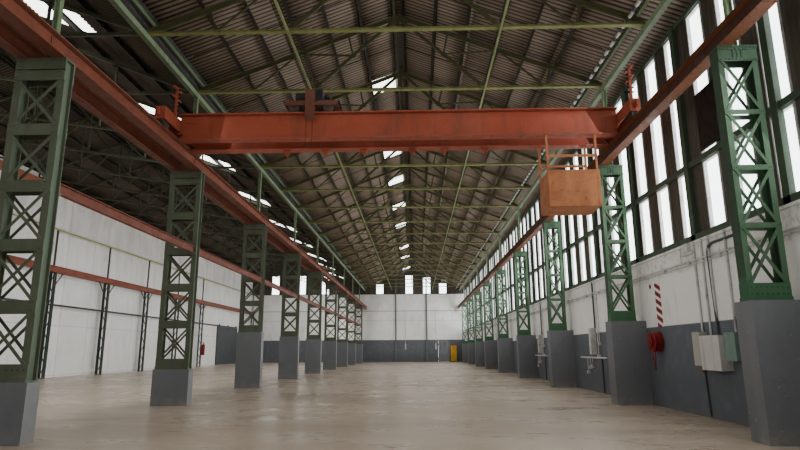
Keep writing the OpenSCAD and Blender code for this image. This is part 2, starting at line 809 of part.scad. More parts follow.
module aisle_trusses() {
    color("darkolivegreen") in_hall() {
        for (k = [1:bays - 1]) translate([0, line_y(k), tie]) aisle_truss();
        for (k = [0:bays - 1]) translate([0, mid_y(k), tie]) aisle_truss();
    }
}

// Runners along the hall under the ties
runner_w = 24;
runner_h = 30;
module tie_runners() {
    color("darkolivegreen") in_hall()
        for (s = [-1, 1])
            translate([s * heel_x * tie_node_in - runner_w / 2, inner_y0 + 5, tie - runner_h - seat])
                cube([runner_w, inner_l - 10, runner_h]);
}

// Purlins and roof sheets
module purlin_outline() {
    difference() {
        square([purlin_w, purlin_d]);
        translate([6, 6]) square([purlin_w, purlin_d - 12]);
    }
}
module on_slope(x, z, dir) {
    translate([x, 0, z]) rotate([0, dir * roof_angle, 0]) children();
}
nave_purlin_end = heel_x - 100;

// Each purlin's place between the ridge and the last purlin
purlin_shares = [0.021, 0.188, 0.346, 0.498, 0.648, 0.803, 1];
aisle_long_purlins = 8;
aisle_short_purlins = 4;
module nave_purlins() {
    color("darkolivegreen") in_hall()
        for (s = [-1, 1], share = purlin_shares) {
            x = s * share * nave_purlin_end;
            on_slope(x, nave_chord_z(x) + chord_up + seat, s) translate([-purlin_w / 2, 0, 0])
                along_y(inner_y0 - 55, inner_y1 + 55) purlin_outline();
        }
}
module aisle_purlins() {
    color("darkolivegreen") in_hall() {
        for (i = [0:aisle_long_purlins - 1]) {
            x = aisle_heel_x - 100 - i * (aisle_rise_run - 160) / (aisle_long_purlins - 1);
            on_slope(x, aisle_chord_z(x) + chord_up + seat, 1) translate([-purlin_w / 2, 0, 0])
                along_y(inner_y0 - 55, inner_y1 + 55) purlin_outline();
        }
        for (i = [0:aisle_short_purlins - 1]) {
            x = aisle_ridge_x - 60 - i * (aisle_ridge_x + aisle_reach - 160) / (aisle_short_purlins - 1);
            on_slope(x, aisle_chord_z(x) + chord_up + seat, -1) translate([-purlin_w / 2, 0, 0])
                along_y(inner_y0 - 55, inner_y1 + 55) purlin_outline();
        }
    }
}
roof_y0 = -wall_t / 2 - roof_overhang;
roof_y1 = hall_l + wall_t / 2 + roof_overhang;
module nave_slope(s, x0, x1) {
    along_y(roof_y0, roof_y1)
        polygon([[s * x0, nave_sheet_z(x0)], [s * x1, nave_sheet_z(x1)],
                 [s * x1, nave_sheet_z(x1) + sheet_up], [s * x0, nave_sheet_z(x0) + sheet_up]]);
}
function aisle_pt(x, up) = [x, aisle_sheet_z(x) + up];
module aisle_slope(x0, x1) {
    along_y(roof_y0, roof_y1)
        polygon([aisle_pt(x0, 0), aisle_pt(x1, 0), aisle_pt(x1, sheet_up), aisle_pt(x0, sheet_up)]);
}
skylight_x0 = 110;
aisle_skylight_x0 = -valley_x + 1080;
roof_room = 3000;

// Where the skylight of each bay starts, as a share of the bay
skylight_starts = [0.5, 0.45, 0.4, 0.535, 0.6, 0.295, 0.163, 0.03, 0.45, 0.3, 0.5];
aisle_starts = [0.5, 0.55, 0.58, 0.62, 0.42, 0.4, 0.5, 0.45, 0.5, 0.4, 0.5];
module roof_cuts(x0, w, starts, grow) {
    for (k = [0:bays - 1])
        translate([-x0 - w - grow, line_y(k) + starts[k] * bay - grow, tie])
            cube([w + 2 * grow, skylight_l + 2 * grow, roof_room]);
}
module skylight_cuts(grow) {
    roof_cuts(skylight_x0, skylight_w, skylight_starts, grow);
}
module aisle_skylight_cuts(grow) {
    roof_cuts(aisle_skylight_x0, aisle_skylight_w, aisle_starts, grow);
}
module nave_roof() {
    color("dimgray") in_hall() {
        difference() {
            nave_slope(-1, 0.2, -valley_x - valley_gap);
            skylight_cuts(0);
        }
        nave_slope(1, 0.2, nave_half + wall_t + roof_overhang);
    }
}
module aisle_roof() {
    color("dimgray") in_hall() {
        difference() {
            aisle_slope(valley_x - valley_gap, aisle_ridge_x + 0.2);
            aisle_skylight_cuts(0);
        }
        aisle_slope(aisle_ridge_x - 0.2, x_left);
    }
}
module skylights() {
    color("white") in_hall() {
        intersection() {
            nave_slope(-1, 20, -valley_x - valley_gap);
            skylight_cuts(-seat);
        }
        intersection() {
            aisle_slope(valley_x - valley_gap, aisle_ridge_x + 20);
            aisle_skylight_cuts(-seat);
        }
    }
}
cap_w = 110;
module ridge_caps() {
    color("dimgray") in_hall()
        for (c = [[0, nave_sheet_z(0)], [aisle_ridge_x, aisle_sheet_z(aisle_ridge_x)]])
            translate([c[0], 0, c[1] + sheet_up + seat]) along_y(roof_y0, roof_y1)
                polygon([[-cap_w, -cap_w * roof_pitch], [0, 0], [cap_w, -cap_w * roof_pitch],
                         [cap_w, 12 - cap_w * roof_pitch], [0, 12], [-cap_w, 12 - cap_w * roof_pitch]]);
}
module valley_gutter() {
    color("dimgray") in_hall() translate([valley_x, 0, gutter_z]) along_y(roof_y0, roof_y1)
        difference() {
            translate([-gutter_w / 2, 0]) square([gutter_w, gutter_h]);
            translate([-gutter_w / 2 + 5, 5]) square([gutter_w - 10, gutter_h]);
        }
}

// Crane bridge: two girders between end carriages, rails on top and brackets below the far one
bridge_z = fl + bridge_base;
bridge_half = column_inset - 10;
bridge_top = bridge_z + bridge_h;
carriage_w = 120;
carriage_z = rail_top + 70;
crab_rail_w = 30;
crab_rail_h = 30;
bracket_xs = [-1470, -980, -480, 130, 540, 1050];
bracket_l = 110;
bracket_h = 90;
module bridge_girder() {
    end_x = runway_x - carriage_w / 2 - seat;
    shelf = rail_top - bridge_z + 20;
    rotate([0, 0, 90]) along_y(-bridge_half, bridge_half)
        i_section(bridge_w, bridge_h, bridge_flange_t, bridge_web_t);
    translate([-end_x, -bridge_web_t / 2, shelf]) cube([2 * end_x, bridge_web_t, bridge_h - shelf]);
    translate([-end_x, -bridge_w / 2, bridge_h - bridge_flange_t])
        cube([2 * end_x, bridge_w, bridge_flange_t]);
    for (x = [-end_x, bridge_half - 30])
        translate([x, -bridge_w / 2, shelf]) cube([end_x - bridge_half + 30, bridge_w, bridge_flange_t]);
    translate([-bridge_half, -crab_rail_w / 2, bridge_h - eps])
        cube([2 * bridge_half, crab_rail_w, crab_rail_h + eps]);
}
module bridge_girders() {
    color("firebrick") in_hall() translate([0, crane_y, bridge_z]) {
        for (s = [-1, 1]) translate([0, s * bridge_gauge / 2, 0]) bridge_girder();
        for (x = bracket_xs)
            along_y(bridge_gauge / 2 - bridge_web_t / 2, bridge_gauge / 2 + bridge_web_t / 2)
                polygon([[x, eps], [x + bracket_l, eps], [x + bracket_l / 2, -bracket_h]]);
    }
}

// Carriages, open below for the wheels, with buffers and the masts of the collectors
buffer_l = 60;
mast_w = 30;
mast_arm_l = 110;
mast_ys = [-270, -600];
module mast() {
    translate([-mast_w / 2, -mast_w / 2, -eps]) cube([mast_w, mast_w, mast_h + eps]);
    for (z = [mast_h * 0.62, mast_h - mast_w])
        translate([-mast_w / 2, -mast_arm_l, z]) cube([mast_w, 2 * mast_arm_l, mast_w * 0.7]);
}
module end_carriages() {
    color("firebrick") in_hall() translate([0, crane_y, carriage_z])
        for (s = [-1, 1]) translate([s * runway_x, 0, 0]) {
            difference() {
                translate([-carriage_w / 2, -carriage_l / 2, 0]) cube([carriage_w, carriage_l, carriage_h]);
                translate([-carriage_w / 2 + 15, -carriage_l / 2 + 20, -eps])
                    cube([carriage_w - 30, carriage_l - 40, carriage_h - 15]);
            }
            translate([-6, -carriage_l / 2 - buffer_l, 30]) cube([12, buffer_l + eps, 90]);
            translate([-s * 18, mast_ys[s > 0 ? 1 : 0], carriage_h]) mast();
        }
}
wheel_x = carriage_l / 2 - wheel_d / 2 - 40;
flange_over = 10;
module bridge_wheels() {
    color("dimgray") in_hall() translate([0, crane_y, rail_top + wheel_d / 2 + seat])
        for (s = [-1, 1], e = [-1, 1])
            translate([s * runway_x, e * wheel_x, 0]) rotate([0, 90, 0]) {
                cylinder(d = wheel_d, h = rail_w + 14, center = true, $fn = 48);
                for (f = [-1, 1]) translate([0, 0, f * (rail_w / 2 + 11)])
                    cylinder(d = wheel_d + 2 * flange_over, h = 10, center = true, $fn = 48);
                cylinder(d = 30, h = carriage_w - 30 - 2 * seat, center = true, $fn = 24);
            }
}

// Operator's cab: an open basket hung from the bridge by straps
hanger_w = 24;
module cab() {
    z0 = fl + cab_z;
    y0 = crane_y - bridge_gauge / 2 - bridge_w / 2 - 10;
    color("peru") in_hall() {
        difference() {
            translate([cab_x - cab_w / 2, y0, z0]) cube([cab_w, cab_d, cab_h]);
            translate([cab_x - cab_w / 2 + cab_t, y0 + cab_t, z0 + cab_t])
                cube([cab_w - 2 * cab_t, cab_d - 2 * cab_t, cab_h]);
        }
        for (x = [-cab_w / 2, cab_w / 2 - hanger_w], y = [y0 + 40, y0 + cab_d - hanger_w])
            translate([cab_x + x, y, z0 + 4]) cube([hanger_w, hanger_w, bridge_z - z0 - 4 - seat]);
        for (y = [y0 + 40, y0 + cab_d - hanger_w])
            translate([cab_x - cab_w / 2 + eps, y + 7, z0 + cab_h + 180]) cube([cab_w - 2 * eps, 10, 30]);
    }
}

// Crab on the bridge: frame, hoist and wheels
crab_rail_top = bridge_top + crab_rail_h;
crab_axle_z = crab_rail_top + crab_wheel_d / 2 + seat;
crab_frame_z = crab_axle_z + 12 + seat;
crab_side_h = 60;
crab_bar_h = 16;
crab_wheel_x = crab_l / 2 - 115;
skirt_w = 120;
skirt_t = 10;
module crab_frame() {
    half = bridge_gauge / 2;
    skirt_y = -half - bridge_w / 2 - 8 - skirt_t;
    color("firebrick") in_hall() translate([crab_x, crane_y, crab_frame_z]) {
        for (s = [-1, 1], e = [-1, 1])
            translate([-crab_l / 2, s * half + e * 30 - 5, 0]) cube([crab_l, 10, crab_side_h]);
        for (x = [-crab_l / 2, -30, crab_l / 2 - 60])
            translate([x, -half - 35, crab_side_h - crab_bar_h]) cube([60, 2 * half + 70, crab_bar_h]);
        translate([-skirt_w / 2, skirt_y, crab_side_h - crab_bar_h])
            cube([skirt_w, -half - 25 - skirt_y, crab_bar_h]);
        translate([-skirt_w / 2, skirt_y, crab_side_h - 280]) cube([skirt_w, skirt_t, 400]);
    }
}
deck_t = 10;
deck_over = 25;
pedestal_w = 40;
drum_l = 330;
drum_y = 70;
motor_d = 130;
motor_l = 250;
motor_y = -110;
box_w = 90;
module crab_hoist() {
    drum_up = deck_t + drum_d / 2 + 8;
    color("darkslategray") in_hall() translate([crab_x, crane_y, crab_frame_z + crab_side_h + seat]) {
        translate([-crab_l / 2 - deck_over, -bridge_gauge / 2 - 5, 0])
            cube([crab_l + 2 * deck_over, bridge_gauge + 10, deck_t]);
        translate([-drum_l / 2, drum_y, drum_up]) rotate([0, 90, 0])
            cylinder(d = drum_d, h = drum_l, $fn = 48);
        for (x = [-drum_l / 2 - pedestal_w + 5, drum_l / 2 - 5])
            translate([x, drum_y - 60, deck_t - eps]) cube([pedestal_w, 120, drum_up + 40]);
        translate([-drum_l / 2 - pedestal_w, motor_y, deck_t + motor_d / 2 + 12]) rotate([0, 90, 0])
            cylinder(d = motor_d, h = motor_l, $fn = 32);
        translate([-drum_l / 2 - pedestal_w + 20, motor_y - 50, deck_t - eps])
            cube([motor_l - 60, 100, motor_d / 2]);
        translate([motor_l - drum_l / 2 - pedestal_w - 5, motor_y - 60, deck_t - eps])
            cube([box_w, 120 - motor_y, drum_up + 60]);
    }
}
module crab_wheels() {
    color("dimgray") in_hall() translate([crab_x, crane_y, crab_axle_z])
        for (s = [-1, 1], e = [-1, 1])
            translate([e * crab_wheel_x, s * bridge_gauge / 2, 0]) rotate([90, 0, 0]) {
                cylinder(d = crab_wheel_d, h = 40, center = true, $fn = 32);
                cylinder(d = 24, h = 80, center = true, $fn = 24);
            }
}

// Sliding gate inside the aisle wall, hung by rollers on a bar track
gate_lap = 60;
gate_x = -aisle_reach + 12;
track_z = fl + gate_h + gate_lap + 10;
track_h = 60;
bar_x = gate_x + gate_t / 2;
roller_d = 70;
module sliding_gate() {
    color("dimgray") in_hall() {
        box_between([gate_x, gate_y0 - gate_lap, fl + 8], [gate_x + gate_t, gate_y1 + gate_lap, track_z - 8]);
        for (y = [gate_y0 + 200, (gate_y0 + gate_y1) / 2, gate_y1 - 200]) {
            translate([bar_x - 10, y, track_z + track_h + seat + roller_d / 2]) rotate([0, 90, 0])
                cylinder(d = roller_d, h = 30, $fn = 40);
            translate([gate_x + gate_t - eps, y - 30, track_z - 160])
                cube([10, 60, 160 + track_h + roller_d / 2 + 20]);
            translate([bar_x + 15, y, track_z + track_h + seat + roller_d / 2]) rotate([0, 90, 0])
                cylinder(d = 20, h = 20, $fn = 20);
        }
    }
}
module gate_track() {
    y0 = gate_y0 - gate_w - 2 * gate_lap;
    y1 = gate_y1 + gate_lap;
    color("dimgray") in_hall() {
        box_between([bar_x - 6, y0, track_z], [bar_x + 6, y1, track_z + track_h]);
        for (i = [0:6]) {
            y = y0 + 60 + i * (y1 - y0 - 120) / 6;
            box_between([-aisle_reach + seat, y - 25, track_z + 10], [bar_x - 5, y + 25, track_z + 50]);
        }
    }
}

// Steel frames of the end doorways, and the hinged leaf of the far one
frame_t = 12;
pin_x = end_door_x + door_gap;
pin_y = inner_y1 - 30;
knuckle_d = 22;
hinge_zs = [fl + 150, fl + door_h - 230];
module door_frame_at(y) {
    translate([0, y, fl]) difference() {
        translate([end_door_x - 40, 0, 0])
            cube([door_w + 2 * door_gap + 80, frame_t, door_h + door_gap + 40]);
        translate([end_door_x, -eps, -eps])
            cube([door_w + 2 * door_gap, frame_t + 2 * eps, door_h + door_gap + eps]);
    }
}
module door_frames() {
    color("darkslategray") in_hall() {
        door_frame_at(inner_y1 - frame_t - seat);
        door_frame_at(inner_y0 + seat);
        for (z = hinge_zs) {
            translate([pin_x, pin_y, z - 40]) cylinder(d = knuckle_d, h = 40, $fn = 24);
            translate([pin_x, pin_y, z - 1]) cylinder(d = 10, h = 72, $fn = 24);
            translate([pin_x - 30, pin_y, z - 38]) cube([30, 20, 36]);
        }
    }
}
module end_door() {
    color("gray") in_hall() difference() {
        union() {
            box_between([pin_x + 16, pin_y - knuckle_d / 2, fl + door_gap],
                        [pin_x + door_w + 30, pin_y - knuckle_d / 2 + door_t, fl + door_h]);
            for (z = hinge_zs) {
                translate([pin_x, pin_y, z + seat]) cylinder(d = knuckle_d, h = 80, $fn = 24);
                translate([pin_x, pin_y - knuckle_d / 2, z + seat]) cube([30, 12, 80]);
            }
        }
        for (z = hinge_zs) translate([pin_x, pin_y, z - 1]) cylinder(d = 11, h = 74, $fn = 24);
    }
}

// Fittings on the side wall, placed from the column line after the short bay
fit_y = line_y(bays_before_short + 1);
reel_y = fit_y - 480;
reel_up = 740;
module hose_reel() {
    color("crimson") in_hall() translate([nave_half - seat, reel_y, fl + reel_up]) rotate([0, -90, 0]) {
        cylinder(d = 60, h = 110, $fn = 32);
        for (z = [10, 90]) translate([0, 0, z]) cylinder(d = reel_d, h = 8, $fn = 64);
    }
}

// Each box: start and length along the wall, foot, height and depth
box_sizes = [[-1632, 146, 497, 323, 90], [-2037, 361, 460, 320, 110], [-2261, 180, 550, 250, 80]];
board_y = fit_y - 2407;
board_l = 560;
board_up = 2600;
board_h = 600;
board_t = 20;
module wall_boxes() {
    color("beige") in_hall() {
        for (b = box_sizes)
            translate([nave_half - b[4], fit_y + b[0], fl + b[2]]) cube([b[4] - seat, b[1], b[3]]);
        translate([frame_x0 + frame_d - board_t, board_y, fl + board_up]) cube([board_t, board_l, board_h]);
    }
}

// Each pipe: place along the wall and foot; all end at the sill
pipe_d = 22;
pipes = [[-1560, 820], [-1720, 780], [-1860, 780], [-2170, 800]];
module conduits() {
    color("lightgray") in_hall()
        for (c = pipes)
            translate([nave_half - pipe_d / 2 - seat, fit_y + c[0], fl + c[1] + seat])
                cylinder(d = pipe_d, h = sill_z - c[1] - 10, $fn = 16);
}

floor_slab();
side_wall();
side_frame();
side_cladding();
side_glazing();
aisle_wall();
aisle_wall_posts();
far_end_wall();
near_end_wall();
end_posts();
gable_sheets();
gable_windows();
plinths_side();
plinths_aisle();
columns_side();
columns_aisle();
upper_posts();
runway_side();
runway_aisle();
crane_rails();
aisle_crane_beam();
lower_beam();
wall_crane_beam();
eaves_beams();
nave_trusses();
aisle_trusses();
tie_runners();
nave_purlins();
aisle_purlins();
nave_roof();
aisle_roof();
skylights();
ridge_caps();
valley_gutter();
bridge_girders();
end_carriages();
bridge_wheels();
cab();
crab_frame();
crab_hoist();
crab_wheels();
sliding_gate();
gate_track();
door_frames();
end_door();
hose_reel();
wall_boxes();
conduits();
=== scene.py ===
"""Crane hall of a factory, dressed over its CAD frame: a nave, an aisle and an overhead crane, at 1:2."""
import math

import bpy
from mathutils import Matrix, Vector


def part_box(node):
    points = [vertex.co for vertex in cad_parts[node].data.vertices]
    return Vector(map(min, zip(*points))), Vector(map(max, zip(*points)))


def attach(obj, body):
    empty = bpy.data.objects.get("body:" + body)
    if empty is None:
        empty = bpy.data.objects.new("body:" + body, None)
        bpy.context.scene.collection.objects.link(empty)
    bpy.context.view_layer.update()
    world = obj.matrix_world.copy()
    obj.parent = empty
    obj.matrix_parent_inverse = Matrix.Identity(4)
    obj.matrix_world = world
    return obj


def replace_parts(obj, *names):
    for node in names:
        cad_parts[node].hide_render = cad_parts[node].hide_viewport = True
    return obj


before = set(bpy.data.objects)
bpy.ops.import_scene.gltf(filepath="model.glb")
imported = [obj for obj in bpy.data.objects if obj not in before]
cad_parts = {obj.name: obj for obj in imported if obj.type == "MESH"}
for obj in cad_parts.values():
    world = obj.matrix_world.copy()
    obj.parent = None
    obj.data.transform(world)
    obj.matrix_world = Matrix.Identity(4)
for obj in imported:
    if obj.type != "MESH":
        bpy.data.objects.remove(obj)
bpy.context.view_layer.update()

# Places in the hall, in metres of the model, read from the frame where it has them
WALL_T = 0.15
SLAB_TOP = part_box("floor_slab")[1].z
NAVE_X = (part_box("crane_rails")[0].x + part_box("crane_rails")[1].x) / 2
LINE_0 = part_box("side_wall")[0].y + WALL_T / 2
HALL_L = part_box("side_wall")[1].y - WALL_T / 2 - LINE_0
INNER = (WALL_T / 2, HALL_L - WALL_T / 2)
SIDE_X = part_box("side_wall")[0].x - NAVE_X
AISLE_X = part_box("aisle_wall")[1].x - NAVE_X
SILL_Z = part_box("side_wall")[1].z - SLAB_TOP
RAIL_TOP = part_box("crane_rails")[1].z - SLAB_TOP
CRANE_Y = (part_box("bridge_girders")[0].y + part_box("bridge_girders")[1].y) / 2 - LINE_0

# The column grid
BAYS = 11
BAY = 3.41
SHORT_BAY = 3.095
BAYS_BEFORE_SHORT = 2
COLUMN_FACE = SIDE_X - 0.41
COLUMN_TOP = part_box("columns_side")[1].z - SLAB_TOP


def line_y(k):
    """A column line's distance from the near end of the hall"""
    return k * BAY - (BAY - SHORT_BAY if k > BAYS_BEFORE_SHORT else 0)


# The column line next to the hose reel and the cabinets
FIT_Y = line_y(BAYS_BEFORE_SHORT + 1)

# An upright pane's inner face looks at the middle of the floor from at least this far
PANE_REACH = 6.0

# Sockets of a colour mix node, whose names belong to its other kinds too
MIX_A, MIX_B, MIX_OUT = 6, 7, 2


def hall(x, y, z):
    """A point given from the nave's centre line, the near end and the floor, in the frame"""
    return Vector((NAVE_X + x, LINE_0 + y, SLAB_TOP + z))


def show(thing):
    bpy.context.scene.collection.objects.link(thing)


class Shape:
    """Collects simple forms in hall places and makes one piece of them"""

    def __init__(self):
        self.verts = []
        self.faces = []

    def add(self, verts, faces):
        """Adds a form, whose faces count from its own first vertex"""
        first = len(self.verts)
        self.verts += [hall(*v) for v in verts]
        self.faces += [[first + i for i in face] for face in faces]

    def box(self, low, high):
        """A box from its low corner to its high one"""
        verts = [(x, y, z) for x in (low[0], high[0]) for y in (low[1], high[1]) for z in (low[2], high[2])]
        self.add(verts, [(0, 1, 3, 2), (4, 6, 7, 5), (0, 4, 5, 1), (2, 3, 7, 6), (0, 2, 6, 4), (1, 5, 7, 3)])

    def tube(self, a, b, radius, sides=8, end_radius=None):
        """A closed tube, or a cone where the end has a radius of its own"""
        a, b = Vector(a), Vector(b)
        along = (b - a).normalized()
        across = along.orthogonal().normalized()
        over = along.cross(across)
        end_radius = radius if end_radius is None else end_radius
        ring = [(math.cos(t), math.sin(t)) for t in (2 * math.pi * (i + 0.5) / sides for i in range(sides))]
        verts = [a + (across * c + over * s) * radius for c, s in ring]
        verts += [b + (across * c + over * s) * end_radius for c, s in ring]
        faces = [(i, (i + 1) % sides, sides + (i + 1) % sides, sides + i) for i in range(sides)]
        faces += [tuple(reversed(range(sides))), tuple(range(sides, 2 * sides))]
        self.add(verts, faces)

    def bar(self, a, b, width, depth, side=(0, 0, 1)):
        """A flat bar from a to b; depth runs towards side"""
        a, b = Vector(a), Vector(b)
        along = (b - a).normalized()
        across = along.cross(Vector(side)).normalized()
        over = across.cross(along)
        corners = [(-1, -1), (1, -1), (1, 1), (-1, 1)]
        verts = [end + across * width / 2 * u + over * depth / 2 * v for end in (a, b) for u, v in corners]
        self.add(verts, [(0, 1, 2, 3), (7, 6, 5, 4), (0, 4, 5, 1), (1, 5, 6, 2), (2, 6, 7, 3), (3, 7, 4, 0)])

    def rivet(self, place, out, radius=0.007):
        """A domed head on a face that looks along out"""
        place, out = Vector(place), Vector(out)
        self.tube(place - out * 0.001, place + out * radius * 0.6, radius, 6, radius * 0.55)

    def rivets(self, start, step, count, out, radius=0.007):
        """A row of heads, a step apart"""
        for i in range(count):
            self.rivet(Vector(start) + Vector(step) * i, out, radius)

    def make(self, name, surface, slot, body="hall", smooth=False):
        """One piece of all that was collected, riding on a body"""
        data = bpy.data.meshes.new(name)
        data.from_pydata(self.verts, [], self.faces)
        data.materials.append(surface)
        if smooth:
            data.polygons.foreach_set("use_smooth", [True] * len(data.polygons))
        piece = bpy.data.objects.new(name, data)
        show(piece)
        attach(piece, body)
        return piece


class Surface:
    """A procedural material, painted layer over layer on the frame's own coordinates"""

    def __init__(self, name, colour, rough=0.6, metal=0.0):
        self.material = bpy.data.materials.new(name)
        self.material.use_nodes = True
        self.tree = self.material.node_tree
        self.shader = self.tree.nodes["Principled BSDF"]
        self.shader.inputs["Base Color"].default_value = (*colour, 1)
        self.shader.inputs["Roughness"].default_value = rough
        self.shader.inputs["Metallic"].default_value = metal
        self.shader.inputs["Specular IOR Level"].default_value = 0.25
        self.base = colour
        self.coord = self.node("TexCoord").outputs["Object"]
        self.geometry = self.node("NewGeometry")

    def node(self, kind):
        return self.tree.nodes.new("ShaderNode" + kind)

    def link(self, out, to):
        """Links two sockets and gives back the first"""
        self.tree.links.new(out, to)
        return out

    def math(self, kind, a, b=0.0):
        """A math node on two sockets or numbers"""
        node = self.node("Math")
        node.operation = kind
        for i, value in enumerate((a, b)):
            if isinstance(value, (int, float)):
                node.inputs[i].default_value = value
            else:
                self.link(value, node.inputs[i])
        return node.outputs[0]

    def times(self, a, b):
        return self.math("MULTIPLY", a, b)

    def remap(self, value, low, high, to=(0.0, 1.0)):
        """Low to high spread over the range to"""
        node = self.node("MapRange")
        self.link(value, node.inputs["Value"])
        node.inputs["From Min"].default_value = low
        node.inputs["From Max"].default_value = high
        node.inputs["To Min"].default_value = to[0]
        node.inputs["To Max"].default_value = to[1]
        return node.outputs[0]

    def axis(self, name):
        """One of the frame's coordinates"""
        node = self.node("SeparateXYZ")
        self.link(self.coord, node.inputs[0])
        return node.outputs[name]

    def facing(self, name, sign, low=0.3, high=0.8):
        """1 where the face looks along that axis"""
        node = self.node("SeparateXYZ")
        self.link(self.geometry.outputs["Normal"], node.inputs[0])
        return self.remap(self.times(node.outputs[name], sign), low, high)

    def outward(self):
        """0 on the inner faces of upright panes, 1 elsewhere"""
        node = self.node("VectorMath")
        node.operation = "DOT_PRODUCT"
        self.link(self.geometry.outputs["Normal"], node.inputs[0])
        self.link(self.geometry.outputs["Position"], node.inputs[1])
        return self.remap(node.outputs["Value"], -PANE_REACH, 0.1 - PANE_REACH)

    def noise(self, scale, low=0.4, high=0.6, stretch=(1, 1, 1)):
        """Patches of noise, longer along the axes where stretch is small"""
        place = self.node("Mapping")
        self.link(self.coord, place.inputs[0])
        place.inputs["Scale"].default_value = stretch
        node = self.node("TexNoise")
        self.link(place.outputs[0], node.inputs["Vector"])
        node.inputs["Scale"].default_value = scale
        node.inputs["Detail"].default_value = 6
        node.inputs["Roughness"].default_value = 0.6
        return self.remap(node.outputs[0], low, high)

    def grain(self, scale, depth, strength):
        """Fine bumps all over"""
        self.bump(self.noise(scale, 0.2, 0.8), depth, strength)

    def under(self, z, blur=0.01, wobble=0.0):
        """1 below a height over the floor, with an edge that may wander"""
        height = self.axis("Z")
        if wobble:
            height = self.math("ADD", height, self.times(self.noise(7, 0, 1), wobble))
        return self.remap(height, SLAB_TOP + z - blur, SLAB_TOP + z + blur, (1, 0))

    def above(self, low, high):
        """0 below one height over the floor, 1 above the other"""
        return self.remap(self.axis("Z"), SLAB_TOP + low, SLAB_TOP + high)

    def lines(self, axis, start, pitch, width):
        """1 on thin lines across an axis, a pitch apart"""
        steps = self.math("FRACT", self.times(self.math("SUBTRACT", self.axis(axis), start), 1 / pitch))
        return self.remap(self.math("ABSOLUTE", self.math("SUBTRACT", steps, 0.5)),
                          0.5 - width / pitch, 0.5 - width / pitch / 2)

    def cells(self, axis, start, pitch, low=0.0, high=1.0):
        """One random value for each sheet or panel along an axis"""
        step = self.math("FLOOR", self.times(self.math("SUBTRACT", self.axis(axis), start), 1 / pitch))
        node = self.node("TexWhiteNoise")
        node.noise_dimensions = "1D"
        self.link(step, node.inputs["W"])
        return self.remap(node.outputs["Value"], low, high)

    def paint(self, mask, colour, amount=1.0):
        """Lays a colour over what is there, where the mask is 1"""
        node = self.node("Mix")
        node.data_type = "RGBA"
        if amount != 1.0:
            mask = self.times(mask, amount)
        self.link(mask, node.inputs["Factor"])
        if isinstance(self.base, tuple):
            node.inputs[MIX_A].default_value = (*self.base, 1)
        else:
            self.link(self.base, node.inputs[MIX_A])
        node.inputs[MIX_B].default_value = (*colour, 1)
        self.base = self.link(node.outputs[MIX_OUT], self.shader.inputs["Base Color"])

    def rough(self, mask, low, high):
        """Roughness between two values, after a mask"""
        self.link(self.remap(mask, 0, 1, (low, high)), self.shader.inputs["Roughness"])

    def bump(self, height, distance, strength=1.0):
        """Raises the surface a little, over any bump that it has"""
        node = self.node("Bump")
        node.inputs["Strength"].default_value = strength
        node.inputs["Distance"].default_value = distance
        self.link(height, node.inputs["Height"])
        before = self.shader.inputs["Normal"].links
        if before:
            self.link(before[0].from_socket, node.inputs["Normal"])
        self.link(node.outputs[0], self.shader.inputs["Normal"])


# Materials

def old_paint(name, colour, wear=(0.12, 0.075, 0.05), grime=(0.05, 0.045, 0.035), rough=0.5, rust=0.5):
    """Satin paint on steel: faded patches, streaks of grime and small bare rusty spots"""
    s = Surface(name, colour, rough)
    faded = tuple(min(1.0, c * 1.25 + 0.02) for c in colour)
    s.paint(s.noise(3.0, 0.45, 0.7), faded, 0.6)
    s.paint(s.noise(9.0, 0.5, 0.75, (1, 1, 0.15)), grime, 0.55)
    s.paint(s.noise(38.0, 0.62, 0.68), wear, rust)
    s.rough(s.noise(14.0, 0.3, 0.7), rough - 0.1, rough + 0.2)
    s.grain(60.0, 0.001, 0.4)
    return s


def make_floor():
    """Old concrete, stained in large soft patches and worn smooth in places"""
    s = Surface("floor_concrete", (0.34, 0.275, 0.205), 0.42)
    s.paint(s.noise(0.9, 0.42, 0.62, (0.6, 1.2, 1)), (0.44, 0.365, 0.28), 0.75)
    s.paint(s.noise(0.45, 0.48, 0.64, (0.6, 1.2, 1)), (0.21, 0.165, 0.12), 0.7)
    s.paint(s.noise(2.2, 0.5, 0.7, (0.6, 1.2, 1)), (0.23, 0.18, 0.135), 0.45)
    s.paint(s.noise(24.0, 0.64, 0.7), (0.15, 0.115, 0.085), 0.3)
    s.rough(s.noise(1.6, 0.35, 0.7, (0.6, 1.2, 1)), 0.22, 0.45)
    s.bump(s.noise(45.0, 0.3, 0.7), 0.001, 0.35)
    return s.material


WALL_WHITE = (0.74, 0.73, 0.7)
DADO_GREY = (0.105, 0.115, 0.13)


def wall_base(name, dado_z, dado=DADO_GREY):
    """Whitewashed masonry, grimy in places, with a grey dado where it has one"""
    s = Surface(name, WALL_WHITE, 0.85)
    s.paint(s.noise(1.3, 0.45, 0.75), (0.56, 0.555, 0.53), 0.7)
    s.paint(s.noise(5.0, 0.56, 0.74, (1, 1, 0.3)), (0.42, 0.4, 0.37), 0.5)
    s.paint(s.noise(30.0, 0.66, 0.72), (0.3, 0.28, 0.25), 0.45)
    s.grain(28.0, 0.003, 0.5)
    if dado_z:
        s.paint(s.under(dado_z, 0.004, 0.004), dado)
        s.paint(s.times(s.under(dado_z), s.noise(6.0, 0.5, 0.75)), (0.17, 0.18, 0.195), 0.5)
        s.paint(s.under(0.05, 0.04, 0.05), (0.16, 0.14, 0.12), 0.6)
    return s


def make_side_wall():
    """Whitewash over a grey dado, with plaster broken off under the sill"""
    s = wall_base("side_wall_wash", 0.917)
    top = s.above(SILL_Z - 0.3, SILL_Z - 0.26)
    s.paint(s.times(top, s.noise(14.0, 0.5, 0.66)), (0.4, 0.375, 0.34), 0.6)
    s.bump(s.times(top, s.noise(16.0, 0.3, 0.7)), 0.008)
    return s.material


